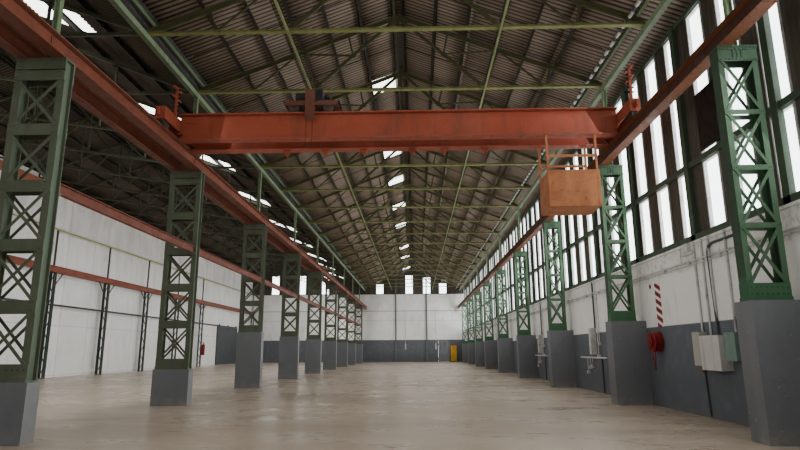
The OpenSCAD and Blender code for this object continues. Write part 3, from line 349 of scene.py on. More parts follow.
def make_aisle_wall():
    """Whitewashed panels with joints between them, dirtier towards the roof"""
    s = wall_base("aisle_wall_wash", None)
    s.paint(s.lines("Y", LINE_0 + 0.5, 1.375, 0.016), (0.3, 0.29, 0.27), 0.7)
    s.paint(s.lines("Z", SLAB_TOP + 0.05, 1.32, 0.014), (0.3, 0.29, 0.27), 0.55)
    s.paint(s.cells("Y", LINE_0 + 0.5, 1.375), (0.58, 0.575, 0.55), 0.45)
    upper = s.above(2.6, 4.9)
    s.paint(s.times(upper, s.noise(3.0, 0.4, 0.7, (1, 1, 0.25))), (0.38, 0.35, 0.31), 0.6)
    return s.material


def make_end_wall():
    """Whitewash over a higher dado, with a joint and a dark ledge"""
    s = wall_base("end_wall_wash", 1.262, (0.1, 0.105, 0.115))
    s.paint(s.lines("Z", SLAB_TOP + 2.38, 5.0, 0.02), (0.4, 0.4, 0.38), 0.5)
    ledge = s.times(s.under(2.954, 0.002), s.above(2.922, 2.924))
    s.paint(ledge, (0.09, 0.09, 0.085), 0.85)
    return s.material


def make_plinth():
    """Painted render with painted light on the nave side, scuffed at the edges and the foot"""
    s = Surface("plinth_render", (0.14, 0.146, 0.155), 0.7)
    s.paint(s.noise(2.4, 0.45, 0.7, (1, 1, 0.5)), (0.17, 0.178, 0.19), 0.7)
    # Painted light: the faces turned towards the windows are lightened
    s.paint(s.facing("X", 1), (0.26, 0.265, 0.27), 0.7)
    s.paint(s.noise(11.0, 0.6, 0.75), (0.11, 0.115, 0.12), 0.6)
    s.paint(s.noise(26.0, 0.66, 0.7), (0.36, 0.37, 0.37), 0.5)
    s.paint(s.times(s.under(0.07, 0.05), s.noise(9.0, 0.4, 0.6)), (0.27, 0.24, 0.2), 0.6)
    s.grain(20.0, 0.003, 0.5)
    return s.material


def make_side_column():
    """Sea-green paint, with painted shade on the faces that look away from the windows"""
    s = old_paint("sea_green_paint", (0.065, 0.13, 0.07), rust=0.5)
    # Painted shade: the faces that look away from the windows are darkened
    s.paint(s.facing("X", -1), (0.03, 0.05, 0.035), 0.85)
    s.paint(s.under(1.17, 0.02), (0.035, 0.12, 0.055), 0.6)
    return s.material


def make_aisle_column():
    """Grey olive paint, with painted light in bright green on the nave faces, which look towards the windows"""
    s = old_paint("olive_grey_paint", (0.08, 0.093, 0.06), rust=0.5)
    # Painted light: the faces turned to the nave and the windows are lightened
    s.paint(s.facing("X", 1), (0.13, 0.175, 0.12), 0.8)
    return s.material


def make_runway_side():
    """Rolled girder with a worn orange lower flange and a dark web, partly painted shade under the top flange"""
    # The dark brown base, which shows on the web, is partly painted shade under the top flange
    s = old_paint("runway_brown", (0.06, 0.026, 0.018), rust=0.7)
    s.paint(s.facing("Z", -1), (0.19, 0.065, 0.026), 0.9)
    s.paint(s.times(s.facing("Z", -1), s.noise(16.0, 0.5, 0.66)), (0.1, 0.035, 0.018), 0.8)
    return s.material


def make_runway_aisle():
    """Faded red girder, with painted shade underneath, and lighter near the rail"""
    s = old_paint("runway_pink", (0.2, 0.06, 0.034), rust=0.6)
    s.paint(s.noise(5.0, 0.5, 0.7, (1, 0.3, 1)), (0.12, 0.035, 0.02), 0.7)
    # Painted shade: the downward faces are darkened
    s.paint(s.facing("Z", -1), (0.085, 0.028, 0.018), 0.7)
    low = s.above(RAIL_TOP - 0.05, RAIL_TOP - 0.04)
    s.paint(low, (0.21, 0.08, 0.05), 0.6)
    return s.material


def make_bridge():
    """Red oxide paint, faded along the web, dusty on top, with painted shade underneath"""
    s = old_paint("red_oxide_paint", (0.3, 0.062, 0.03), wear=(0.12, 0.03, 0.018), rough=0.45, rust=0.5)
    s.paint(s.noise(2.2, 0.5, 0.8, (0.35, 1, 1)), (0.36, 0.1, 0.055), 0.6)
    s.paint(s.facing("Z", 1), (0.16, 0.06, 0.04), 0.6)
    # Painted shade: the downward faces are darkened
    s.paint(s.facing("Z", -1), (0.12, 0.03, 0.02), 0.45)
    return s.material


def make_eaves():
    """Pale grey-green paint, with painted shade in dark olive underneath"""
    s = old_paint("eaves_green_paint", (0.2, 0.27, 0.16), rust=0.35)
    # Painted shade: the downward faces are darkened
    s.paint(s.facing("Z", -1), (0.06, 0.075, 0.04), 0.85)
    return s.material


def make_truss():
    """Yellow-green ties, darker and browner members above them"""
    s = old_paint("truss_yellow_green", (0.17, 0.18, 0.06), rust=0.4)
    tie_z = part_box("nave_trusses")[0].z
    s.paint(s.remap(s.axis("Z"), tie_z + 0.034, tie_z + 0.06), (0.05, 0.048, 0.024), 0.85)
    return s.material


def make_purlins():
    """Dark painted purlins; those next to the eaves pale green"""
    s = old_paint("purlin_dark", (0.014, 0.013, 0.01), rust=0.2)
    away = s.math("ABSOLUTE", s.math("SUBTRACT", s.axis("X"), NAVE_X))
    s.paint(s.times(s.remap(away, 2.58, 2.6), s.remap(away, 2.9, 2.92, (1, 0))), (0.15, 0.21, 0.12), 0.9)
    return s.material


def make_cab():
    """Rusted sheet: orange brown with dark blotches and runs"""
    s = Surface("cab_rust", (0.36, 0.135, 0.055), 0.75)
    s.paint(s.noise(6.0, 0.42, 0.7), (0.24, 0.085, 0.035), 0.8)
    s.paint(s.noise(18.0, 0.55, 0.72), (0.13, 0.05, 0.028), 0.8)
    s.paint(s.noise(5.0, 0.55, 0.8, (1, 1, 0.2)), (0.46, 0.2, 0.085), 0.6)
    s.grain(50.0, 0.0015, 0.6)
    s.rough(s.noise(20.0, 0.3, 0.7), 0.6, 0.9)
    return s.material


WAVE_PITCH = 0.076
ROOF_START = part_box("nave_roof")[0].y - LINE_0


def make_roof(name, colour):
    """Weathered sheets, each of its own tone, with painted shade in the upper waves"""
    s = Surface(name, colour, 0.85)
    s.paint(s.cells("Y", LINE_0, 0.531), tuple(c * 1.4 for c in colour), 0.7)
    s.paint(s.noise(1.1, 0.45, 0.7), tuple(c * 0.65 for c in colour), 0.7)
    s.paint(s.noise(5.0, 0.55, 0.75, (0.3, 1.6, 1)), tuple(c * 1.8 for c in colour), 0.5)
    s.paint(s.noise(22.0, 0.62, 0.72), tuple(c * 0.4 for c in colour), 0.6)
    # Painted shade: the upper waves, the grooves seen from below, are darkened
    phase = s.times(s.math("SUBTRACT", s.axis("Y"), LINE_0 + ROOF_START), 2 * math.pi / WAVE_PITCH)
    s.paint(s.remap(s.math("COSINE", phase), -0.75, -0.05, (1, 0)), tuple(c * 0.12 for c in colour), 0.92)
    s.grain(60.0, 0.001, 0.5)
    return s.material


def make_strips():
    """Profiled wall strips: grey brown, ribbed, stained in long vertical runs"""
    s = Surface("wall_strip_sheet", (0.06, 0.05, 0.04), 0.8)
    s.paint(s.noise(4.0, 0.42, 0.72, (1, 1, 0.12)), (0.12, 0.105, 0.09), 0.8)
    s.paint(s.noise(12.0, 0.55, 0.75, (1, 1, 0.2)), (0.035, 0.03, 0.026), 0.6)
    ribs = s.math("SINE", s.times(s.axis("Y"), 2 * math.pi / 0.075))
    s.bump(ribs, 0.006)
    s.grain(50.0, 0.001, 0.4)
    return s.material


def make_glass(name, tint, strength, outside, lying=False):
    """Dirty panes that glow into the hall and look dull from outside"""
    s = Surface(name, tint, 0.35)
    s.paint(s.noise(7.0, 0.5, 0.8, (1, 1, 0.4)), tuple(c * 0.75 for c in tint), 0.7)
    outer = s.facing("Z", 1, 0, 0.1) if lying else s.outward()
    s.paint(outer, outside, 0.9)
    glow = s.remap(s.noise(2.0, 0.3, 0.8, (1, 1, 0.4)), 0, 1, (strength, strength * 0.8))
    s.shader.inputs["Emission Color"].default_value = (*tint, 1)
    s.link(s.times(glow, s.remap(outer, 0, 1, (1, 0))), s.shader.inputs["Emission Strength"])
    s.grain(25.0, 0.001, 0.3)
    return s.material


def make_plain_steel(name, colour, rough=0.55, metal=0.0, grime=(0.04, 0.035, 0.03)):
    """Bare or thinly painted steel with grime and rusty specks"""
    s = Surface(name, colour, rough, metal)
    s.paint(s.noise(8.0, 0.5, 0.75), grime, 0.6)
    s.paint(s.noise(32.0, 0.6, 0.7), (0.16, 0.07, 0.035), 0.4)
    s.rough(s.noise(12.0, 0.3, 0.7), rough - 0.12, rough + 0.15)
    s.grain(55.0, 0.001, 0.4)
    return s.material


def make_wall_beam():
    """Red oxide crane beam, yellow-green rail, orange brown head beam"""
    s = old_paint("wall_beam_paint", (0.18, 0.048, 0.028))
    s.paint(s.above(2.925, 2.93), (0.03, 0.045, 0.03), 0.9)
    s.paint(s.above(3.86, 3.87), (0.3, 0.31, 0.07), 0.9)
    s.paint(s.above(4.5, 4.51), (0.3, 0.11, 0.06))
    s.paint(s.times(s.noise(16.0, 0.55, 0.7), s.above(3.8, 3.86)),
            (0.1, 0.06, 0.035), 0.5)
    return s.material


def make_box_paint():
    """Cabinets: beige, white and green ones, and a dark board higher up"""
    s = old_paint("cabinet_paint", (0.5, 0.49, 0.46), rust=0.2)
    line = LINE_0 + FIT_Y
    blur = 0.002
    for low, high, colour, amount in ((-1.64, -1.48, (0.33, 0.31, 0.27), 0.8),
                                      (-2.27, -2.07, (0.1, 0.19, 0.15), 0.85)):
        start = s.remap(s.axis("Y"), line + low - blur, line + low)
        end = s.remap(s.axis("Y"), line + high, line + high + blur, (1, 0))
        s.paint(s.times(start, end), colour, amount)
    s.paint(s.above(2.5, 2.51), (0.012, 0.011, 0.01))
    return s.material


PALE_GREEN = old_paint("pale_green_paint", (0.2, 0.27, 0.15), rust=0.35).material
MATERIALS = {
    "floor_slab": make_floor(),
    "side_wall": make_side_wall(),
    "side_frame": old_paint("frame_green_paint", (0.045, 0.07, 0.045), rust=0.4).material,
    "crab_frame": old_paint("crab_rust", (0.12, 0.04, 0.024), rust=0.6).material,
    "side_cladding": make_strips(),
    "side_glazing": make_glass("window_glass", (0.93, 0.97, 1.0), 6.0, (0.1, 0.13, 0.14)),
    "aisle_wall": make_aisle_wall(),
    "aisle_wall_posts": old_paint("post_black_green", (0.022, 0.032, 0.024), rust=0.3).material,
    "far_end_wall": make_end_wall(),
    "end_posts": old_paint("post_green_grey", (0.12, 0.13, 0.115), rust=0.3).material,
    "plinths_side": make_plinth(),
    "columns_side": make_side_column(),
    "columns_aisle": make_aisle_column(),
    "upper_posts": PALE_GREEN,
    "eaves_beams": make_eaves(),
    "runway_side": make_runway_side(),
    "runway_aisle": make_runway_aisle(),
    "crane_rails": make_plain_steel("rail_steel", (0.2, 0.13, 0.1), 0.45, 0.6),
    "lower_beam": old_paint("beam_red_brown", (0.17, 0.05, 0.03)).material,
    "wall_crane_beam": make_wall_beam(),
    "nave_trusses": make_truss(),
    "aisle_trusses": old_paint("truss_dark_olive", (0.055, 0.06, 0.035), rust=0.3).material,
    "tie_runners": old_paint("runner_green", (0.16, 0.19, 0.08), rust=0.4).material,
    "nave_purlins": make_purlins(),
    "nave_roof": make_roof("roof_sheet", (0.2, 0.155, 0.115)),
    "aisle_roof": make_roof("aisle_roof_sheet", (0.07, 0.055, 0.042)),
    "skylights": make_glass("skylight_panel", (0.95, 0.97, 0.93), 5.0, (0.45, 0.48, 0.43), lying=True),
    "valley_gutter": make_plain_steel("galvanised_sheet", (0.1, 0.1, 0.095), 0.6, 0.3),
    "bridge_girders": make_bridge(),
    "bridge_wheels": make_plain_steel("wheel_steel", (0.13, 0.1, 0.085), 0.5, 0.7),
    "cab": make_cab(),
    "crab_hoist": make_plain_steel("hoist_black", (0.025, 0.026, 0.027), 0.5),
    "sliding_gate": make_plain_steel("gate_grey", (0.06, 0.065, 0.07), 0.55),
    "end_door": old_paint("door_grey", (0.15, 0.16, 0.165), rust=0.2).material,
    "hose_reel": old_paint("hose_red", (0.19, 0.01, 0.01), rough=0.4, rust=0.15).material,
    "wall_boxes": make_box_paint(),
    "conduits": make_plain_steel("pipe_paint", (0.5, 0.5, 0.48), 0.6),
}
SAME_AS = {
    "near_end_wall": "far_end_wall", "plinths_aisle": "plinths_side", "aisle_crane_beam": "runway_aisle",
    "aisle_purlins": "nave_purlins", "ridge_caps": "nave_roof",
    "gable_sheets": "side_cladding", "gable_windows": "side_glazing", "end_carriages": "bridge_girders",
    "crab_wheels": "bridge_wheels", "gate_track": "sliding_gate",
    "door_frames": "sliding_gate",
}


def dress_nodes():
    """Gives each CAD node its material"""
    for name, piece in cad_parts.items():
        material = MATERIALS[SAME_AS.get(name, name)]
        piece.data.materials.clear()
        piece.data.materials.append(material)


dress_nodes()


# Corrugated roof sheets, laid in rows that lap downwards
ROOF_PITCH = 0.391
SHEET_UP = 0.015
WAVE_DEPTH = 0.022
WAVE_STEPS = 5
SHEET_T = 0.004
LAP = 0.07
STEP = WAVE_PITCH / WAVE_STEPS
ROOF_Y = (ROOF_START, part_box("nave_roof")[1].y - LINE_0)
RIDGE_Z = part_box("nave_roof")[1].z - SLAB_TOP - SHEET_UP
RIDGE_GAP = 0.004
AISLE_RIDGE_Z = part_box("aisle_roof")[1].z - SLAB_TOP - SHEET_UP
AISLE_RIDGE_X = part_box("ridge_caps")[0].x + 0.11 - NAVE_X
VALLEY_X = (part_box("valley_gutter")[0].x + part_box("valley_gutter")[1].x) / 2 - NAVE_X
VALLEY_GAP = 0.03
GUTTER_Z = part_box("valley_gutter")[0].z - SLAB_TOP
ROOF_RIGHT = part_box("nave_roof")[1].x - NAVE_X
ROOF_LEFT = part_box("aisle_roof")[0].x - NAVE_X

# Where one row of sheets ends and the next one starts under it
NAVE_SEAM = -1.6
NAVE_RIGHT_SEAMS = (1.1, 2.2)
AISLE_SEAMS = (-6.1, -8.6)

# The skylights: upper and lower edge, length, and start in each bay as a share of a bay
SKY_X = (-0.11, -0.51)
AISLE_SKY_X = (VALLEY_X - 1.98, VALLEY_X - 1.08)
SKYLIGHT_L = 0.56
SKYLIGHT_STARTS = (0.5, 0.45, 0.4, 0.535, 0.6, 0.295, 0.163, 0.03, 0.45, 0.3, 0.5)
AISLE_STARTS = (0.5, 0.55, 0.58, 0.62, 0.42, 0.4, 0.5, 0.45, 0.5, 0.4, 0.5)

# Flashings that close the slots beside the gutter
FLASHING_X = (0.026, 0.12)
FLASHING_Y = (ROOF_Y[0] + 0.01, ROOF_Y[1] - 0.01)
FLASHING_W = 0.1
FLASHING_T = 0.003
FLASHING_DOWN = 0.006


def nave_z(x):
    """Height of the nave's sheets"""
    return RIDGE_Z - ROOF_PITCH * abs(x)


def aisle_z(x):
    """Height of the aisle's sheets"""
    return AISLE_RIDGE_Z - ROOF_PITCH * abs(x - AISLE_RIDGE_X)


def snap(y):
    """The nearest step of the waves, so that sheets meet in the same wave"""
    return ROOF_Y[0] + round((y - ROOF_Y[0]) / STEP) * STEP


def wave_sheet(shape, x0, x1, y0, y1, z0, z1, lift=0.006):
    """A corrugated sheet from the upper edge (x0, z0) to the lower one (x1, z1), lifted at the lower edge"""
    count = round((snap(y1) - snap(y0)) / STEP)
    verts = []
    for i in range(count + 1):
        y = snap(y0) + i * STEP
        wave = WAVE_DEPTH / 2 * (1 - math.cos(2 * math.pi * (y - ROOF_Y[0]) / WAVE_PITCH))
        for x, z in ((x0, z0), (x1, z1 + lift)):
            verts += [(x, y, z + wave), (x, y, z + wave + SHEET_T)]
    faces = []
    for i in range(count):
        a = 4 * i
        b = a + 4
        faces += [(a, b, b + 2, a + 2), (a + 1, a + 3, b + 3, b + 1)]
        faces += [(a, a + 1, b + 1, b), (a + 2, b + 2, b + 3, a + 3)]
    end = 4 * count
    faces += [(0, 2, 3, 1), (end, end + 1, end + 3, end + 2)]
    shape.add(verts, faces)


def holes_of(starts):
    """Both ends of each bay's skylight"""
    firsts = [line_y(k) + share * BAY for k, share in enumerate(starts)]
    return [(first, first + SKYLIGHT_L) for first in firsts]


def wave_band(shape, x0, x1, z_at, holes=()):
    """A row of sheets down the slope from x0 to x1, open where the skylights lie"""
    edges = [ROOF_Y[0]] + [y for hole in holes for y in hole] + [ROOF_Y[1]]
    for y0, y1 in zip(edges[::2], edges[1::2]):
        wave_sheet(shape, x0, x1, y0, y1, z_at(x0), z_at(x1))


def make_nave_waves():
    """Four rows on the slope with the skylights, three on the other"""
    nave = Shape()
    wave_band(nave, -RIDGE_GAP, SKY_X[0] - LAP / 2, nave_z)
    wave_band(nave, *SKY_X, nave_z, holes_of(SKYLIGHT_STARTS))
    wave_band(nave, SKY_X[1], NAVE_SEAM, nave_z)
    wave_band(nave, NAVE_SEAM + LAP, VALLEY_X + VALLEY_GAP, nave_z)
    first, second = NAVE_RIGHT_SEAMS
    for x0, x1 in ((RIDGE_GAP, first), (first - LAP, second), (second - LAP, ROOF_RIGHT)):
        wave_band(nave, x0, x1, nave_z)
    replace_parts(nave.make("nave_waves", MATERIALS["nave_roof"], "roof_sheet", smooth=True), "nave_roof")


def make_aisle_waves():
    """Four rows from the valley up to the aisle's ridge, two down to its wall"""
    aisle = Shape()
    near, far = AISLE_SEAMS
    wave_band(aisle, AISLE_SKY_X[1] - LAP / 2, VALLEY_X - VALLEY_GAP, aisle_z)
    wave_band(aisle, *AISLE_SKY_X, aisle_z, holes_of(AISLE_STARTS))
    wave_band(aisle, near, AISLE_SKY_X[0] + LAP / 2, aisle_z)
    wave_band(aisle, AISLE_RIDGE_X + RIDGE_GAP, near + LAP, aisle_z)
    wave_band(aisle, AISLE_RIDGE_X - RIDGE_GAP, far, aisle_z)
    wave_band(aisle, far + LAP, ROOF_LEFT, aisle_z)
    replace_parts(aisle.make("aisle_waves", MATERIALS["aisle_roof"], "roof_sheet", smooth=True), "aisle_roof")


def make_skylight_waves():
    """The clear sheets, which fill the gaps in the rows"""
    clear = Shape()
    for (x0, x1), starts, z_at in ((SKY_X, SKYLIGHT_STARTS, nave_z), (AISLE_SKY_X, AISLE_STARTS, aisle_z)):
        for y0, y1 in holes_of(starts):
            wave_sheet(clear, x0, x1, y0, y1, z_at(x0), z_at(x1))
    piece = clear.make("skylight_waves", MATERIALS["skylights"], "skylight_panel", smooth=True)
    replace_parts(piece, "skylights")


def make_flashings():
    """A lying and an upright strip on each side of the valley"""
    flashing = Shape()
    for side, z_at in ((1, nave_z), (-1, aisle_z)):
        near, away = [VALLEY_X + side * x for x in FLASHING_X]
        x = (near + away) / 2
        z = (z_at(near) + z_at(away)) / 2 - FLASHING_DOWN
        ends = [(x, y, z) for y in FLASHING_Y]
        flashing.bar(*ends, FLASHING_W, FLASHING_T, (side * ROOF_PITCH, 0, -1))
        low = (near - 0.002, FLASHING_Y[0], GUTTER_Z + 0.02)
        flashing.box(low, (near + 0.002, FLASHING_Y[1], z_at(near)))
    flashing.make("valley_flashings", MATERIALS["valley_gutter"], "galvanised_sheet")


# Side glazing: rails and frames round the panes inside, bars on the glass outside
FRAME_X = SIDE_X + 0.054
FRAME_DEPTH = (FRAME_X - 0.012, FRAME_X + 0.03)
FRAME_HALF = 0.009
STRIP_PITCH = BAY / 6
WINDOW_W = STRIP_PITCH * 0.52
STRIP_FIRST = STRIP_PITCH / 2 + FIT_Y % STRIP_PITCH
STRIP_YS = [STRIP_FIRST + i * STRIP_PITCH for i in range(int((HALL_L - 0.2) / STRIP_PITCH))]
TRANSOM_Z = 2.53
TRANSOM_HALF = 0.03
SILL_RAIL_TOP = SILL_Z + 0.06
GLAZING_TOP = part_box("side_glazing")[1].z - SLAB_TOP - 0.02
GLASS_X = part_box("side_glazing")[1].x - NAVE_X
OUTER_RAIL_HALF = 0.025
OUTER_BAR_HALF = 0.012


def make_side_frames():
    """Three rails along the hall, and a frame round each pane between them"""
    rails, frames = Shape(), Shape()
    for z0, z1, out in ((SILL_Z + 0.002, SILL_RAIL_TOP, 0.05),
                        (TRANSOM_Z - TRANSOM_HALF, TRANSOM_Z + TRANSOM_HALF, 0.035),
                        (GLAZING_TOP, GLAZING_TOP + 0.05, 0.035)):
        rails.box((FRAME_X - out, INNER[0], z0), (FRAME_X - 0.001, INNER[1], z1))
    tiers = ((SILL_RAIL_TOP, TRANSOM_Z - TRANSOM_HALF), (TRANSOM_Z + TRANSOM_HALF, GLAZING_TOP))
    inner, outer = FRAME_DEPTH
    for y in STRIP_YS:
        left, right = y - WINDOW_W / 2, y + WINDOW_W / 2
        for z0, z1 in tiers:
            for edge in (left, right):
                frames.box((inner, edge - FRAME_HALF, z0), (outer, edge + FRAME_HALF, z1))
            for z in (z0 + FRAME_HALF, z1 - FRAME_HALF):
                frames.box((inner, left, z - FRAME_HALF), (outer, right, z + FRAME_HALF))
    rails.make("glazing_rails", MATERIALS["side_frame"], "pale_green_paint")
    frames.make("pane_frames", MATERIALS["conduits"], "galvanised_sheet")


def make_outer_bars():
    """Three rails and the upright bars of each window on the outer face of the glass"""
    bars = Shape()
    foot = SILL_Z + 0.05
    face = GLASS_X + 0.001
    for z in (foot, TRANSOM_Z, GLAZING_TOP):
        bars.box((face, INNER[0], z - OUTER_RAIL_HALF), (GLASS_X + 0.018, INNER[1], z + OUTER_RAIL_HALF))
    for middle in STRIP_YS:
        for y in (middle - WINDOW_W / 2, middle + WINDOW_W / 2):
            bars.box((face, y - OUTER_BAR_HALF, foot), (GLASS_X + 0.014, y + OUTER_BAR_HALF, GLAZING_TOP))
    bars.make("outer_glazing_bars", MATERIALS["side_frame"], "pale_green_paint")


# Rivets of the columns and girders
BASE_H = 0.13
FACE_Y = 0.062
CAP_PLATE = 0.012
PANEL_H = 0.39
SIDE_CAP_H = 0.12
SIDE_BATTEN_H = 0.04
AISLE_CAP_H = 0.184
AISLE_BATTEN_H = 0.096
PLINTH_H = 1.0
LOW_PLINTH_H = 0.44
LOW_PLINTHS = 3
AISLE_LEGS = (-0.03, -0.37)


def batten_heights(foot, cap_h, batten_h):
    """Middle height of each batten of a column that stands on a plinth"""
    clear = COLUMN_TOP - CAP_PLATE - foot - cap_h - BASE_H
    count = max(2, round((clear + batten_h) / (PANEL_H + batten_h)))
    panel = (clear - (count - 1) * batten_h) / count
    return [foot + BASE_H + j * (panel + batten_h) - batten_h / 2 for j in range(1, count)]


def side_column_rivets(shape, y, side):
    """Heads on the cap, the foot and the battens of one face of a column by the side wall"""
    out = (0, side, 0)
    x = COLUMN_FACE
    cap = COLUMN_TOP - CAP_PLATE - SIDE_CAP_H
    cap_y = y + side * 0.007
    for z in (cap + 0.012, cap + 0.108):
        shape.rivets((x + 0.02, cap_y, z), (0.03, 0, 0), 10, out, 0.006)
    for dx in (-0.034, 0, 0.034):
        shape.rivets((x + 0.155 + dx, cap_y, cap + 0.036), (0, 0, 0.024), 3, out, 0.005)
    for z in (1.05, 1.1):
        shape.rivets((x + 0.022, y, z), (0.038, 0, 0), 8, out, 0.006)
    for z in batten_heights(PLINTH_H, SIDE_CAP_H, SIDE_BATTEN_H):
        for start in (0.014, 0.278):
            shape.rivets((x + start, y, z), (0.018, 0, 0), 2, out, 0.005)


def aisle_column_rivets(shape, y, side, foot):
    """Heads on the battens, the cap and the foot of one face of a column by the aisle"""
    out = (0, side, 0)
    x = -COLUMN_FACE
    for z in batten_heights(foot, AISLE_CAP_H, AISLE_BATTEN_H):
        for start in AISLE_LEGS:
            for dz in (-0.03, 0.03):
                shape.rivets((x + start, y, z + dz), (-0.022, 0, 0), 2, out, 0.006)
    cap = COLUMN_TOP - CAP_PLATE - AISLE_CAP_H
    for dz in (0.03, 0.07, 0.125, 0.165):
        for start in AISLE_LEGS:
            shape.rivets((x + start, y + side * 0.004, cap + dz), (-0.022, 0, 0), 2, out, 0.006)
    shape.rivets((x - 0.03, y, foot + 0.09), (-0.045, 0, 0), 9, out, 0.007)


def make_column_rivets():
    """The heads on both faces of every column"""
    right, left = Shape(), Shape()
    for k in range(1, BAYS):
        foot = LOW_PLINTH_H if k <= LOW_PLINTHS else PLINTH_H
        for side in (-1, 1):
            y = line_y(k) + side * FACE_Y
            side_column_rivets(right, y, side)
            aisle_column_rivets(left, y, side, foot)
    # Painted shade: the rivet heads are darker than their plates, standing in for the shading that shows them as
    # dots
    green = old_paint("rivet_green", (0.025, 0.055, 0.03)).material
    olive = old_paint("rivet_olive", (0.035, 0.045, 0.028)).material
    right.make("side_column_rivets", green, "grey_green_paint")
    left.make("aisle_column_rivets", olive, "olive_paint")


RUNWAY_X = (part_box("runway_side")[0].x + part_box("runway_side")[1].x) / 2 - NAVE_X
RUNWAY_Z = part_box("runway_side")[0].z - SLAB_TOP
FLANGE_PITCH = 0.09
FLANGE_T = 0.0101


def make_runway_details():
    """Rivets under the flange, sole plates on the caps, splices at the columns"""
    right, left = Shape(), Shape()
    count = int(HALL_L / FLANGE_PITCH) - 2
    for dx in (-0.04, 0.04):
        right.rivets((RUNWAY_X + dx, 0.12, RUNWAY_Z), (0, FLANGE_PITCH, 0), count, (0, 0, -1), 0.007)
    x = -RUNWAY_X + 0.0045
    face = -RUNWAY_X + 0.012
    for k in range(1, BAYS):
        y = line_y(k)
        sole = (RUNWAY_X - 0.05, y - 0.16, RUNWAY_Z + FLANGE_T)
        right.box(sole, (RUNWAY_X + 0.05, y + 0.16, RUNWAY_Z + 0.016))
        left.box((x, y - 0.2, RUNWAY_Z + 0.03), (face, y + 0.2, RUNWAY_Z + 0.12))
        for dz in (0.045, 0.075, 0.105):
            left.rivets((face, y - 0.18, RUNWAY_Z + dz), (0, 0.04, 0), 10, (1, 0, 0), 0.006)
    right.make("runway_rivets", old_paint("rivet_brown", (0.05, 0.022, 0.014)).material, "runway_brown")
    left.make("runway_splices", MATERIALS["runway_aisle"], "runway_pink")


CONDUCTOR_X = 2.61
CONDUCTOR_Z = 4.255
BEAD_PITCH = 0.21


def make_insulator_line():
    """A conductor line on insulators under the window ends of the ties"""
    line, beads = Shape(), Shape()
    x, z = CONDUCTOR_X, CONDUCTOR_Z
    line.bar((x, INNER[0] + 0.05, z), (x, INNER[1] - 0.05, z), 0.022, 0.014)
    for i in range(int(HALL_L / BEAD_PITCH) - 1):
        y = 0.2 + i * BEAD_PITCH
        beads.tube((x, y, z - 0.002), (x, y + 0.11, z - 0.002), 0.02, 8)
    line.make("conductor_bar", MATERIALS["crab_hoist"], "dark_steel")
    beads.make("insulators", MATERIALS["conduits"], "galvanised_sheet")


def make_sag_bars():
    """Thin bars between the nave purlins"""
    bars = Shape()
    high = RIDGE_Z - 0.1
    low = high - ROOF_PITCH * 2.6
    for k in range(BAYS):
        for share in (0.25, 0.75):
            y = line_y(k) + share * (line_y(k + 1) - line_y(k))
            for side in (-1, 1):
                bars.bar((side * 0.1, y, high), (side * 2.7, y, low), 0.01, 0.01)
    bars.make("sag_bars", MATERIALS["nave_purlins"], "olive_paint")


# Fittings on the side wall
REEL = (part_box("hose_reel")[0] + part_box("hose_reel")[1]) / 2
REEL_Y = REEL.y - LINE_0
REEL_Z = REEL.z - SLAB_TOP
REEL_FACE = REEL.x - 0.055 - NAVE_X
HOSE_R = 0.1
HOSE_TURNS = 4
STRIPE_PITCH = 0.094
STRIPE_SLANT = 0.42


def make_stripes():
    """White band with slanting red blocks"""
    s = Surface("stripe_paint", WALL_WHITE, 0.6)
    slant = s.math("SUBTRACT", s.axis("Z"), s.times(s.axis("Y"), STRIPE_SLANT))
    blocks = s.math("FRACT", s.times(slant, 1 / STRIPE_PITCH))
    s.paint(s.math("GREATER_THAN", blocks, 0.42), (0.2, 0.01, 0.014))
    s.paint(s.noise(20.0, 0.55, 0.7), (0.3, 0.27, 0.25), 0.4)
    s.grain(28.0, 0.002, 0.5)
    return s.material


def pipe(shape, places, radius):
    """A bent pipe through the places"""
    for a, b in zip(places, places[1:]):
        shape.tube(a, b, radius)


def make_reel_details():
    """Hub and holes of the reel, its hose and the fork that guides it"""
    reel, hose = Shape(), Shape()
    for r, back in ((0.03, 0.02), (0.06, 0.012)):
        reel.tube((REEL_FACE - back, REEL_Y, REEL_Z), (REEL_FACE, REEL_Y, REEL_Z), r, 24)
    for i in range(6):
        turn = math.pi * i / 3
        place = Vector((REEL_FACE - 0.004, REEL_Y + 0.085 * math.cos(turn), REEL_Z + 0.085 * math.sin(turn)))
        reel.tube(place, place + Vector((0.004, 0, 0)), 0.014, 12)
    angles = [2 * math.pi * j / 24 for j in range(25)]
    for i in range(HOSE_TURNS):
        x = REEL_FACE + 0.025 + i * 0.018
        ring = [(x, REEL_Y + HOSE_R * math.cos(t), REEL_Z + HOSE_R * math.sin(t)) for t in angles]
        for a, b in zip(ring, ring[1:]):
            hose.tube(a, b, 0.012, 6)
    x = REEL_FACE + 0.03
    low = REEL_Z - 0.12
    for side in (-1, 1):
        arm = ((side * 0.03, 0.02), (side * 0.032, -0.09), (0, -0.12))
        pipe(hose, [(x, REEL_Y + dy, low + dz) for dy, dz in arm], 0.006)
    pipe(hose, [(x, REEL_Y, low - 0.12), (x, REEL_Y - 0.005, low - 0.2)], 0.009)
    reel.make("reel_hub", MATERIALS["hose_reel"], "hose_red")
    hose.make("reel_hose", MATERIALS["hose_reel"], "hose_red", smooth=True)


WALL_PIPE_X = SIDE_X - 0.013
CLIP_PITCH = 0.62
# Distance from the group's line, foot and head of each drop
DROPS = ((-0.2, 0.56, 1.72), (-0.28, 0.75, 1.5), (0.28, 0.38, 0.53), (0.42, 0.3, 0.53), (0.15, 0.4, 0.53))
GROUP_YS = (11.93, 15.95, 22.3, 29.1)


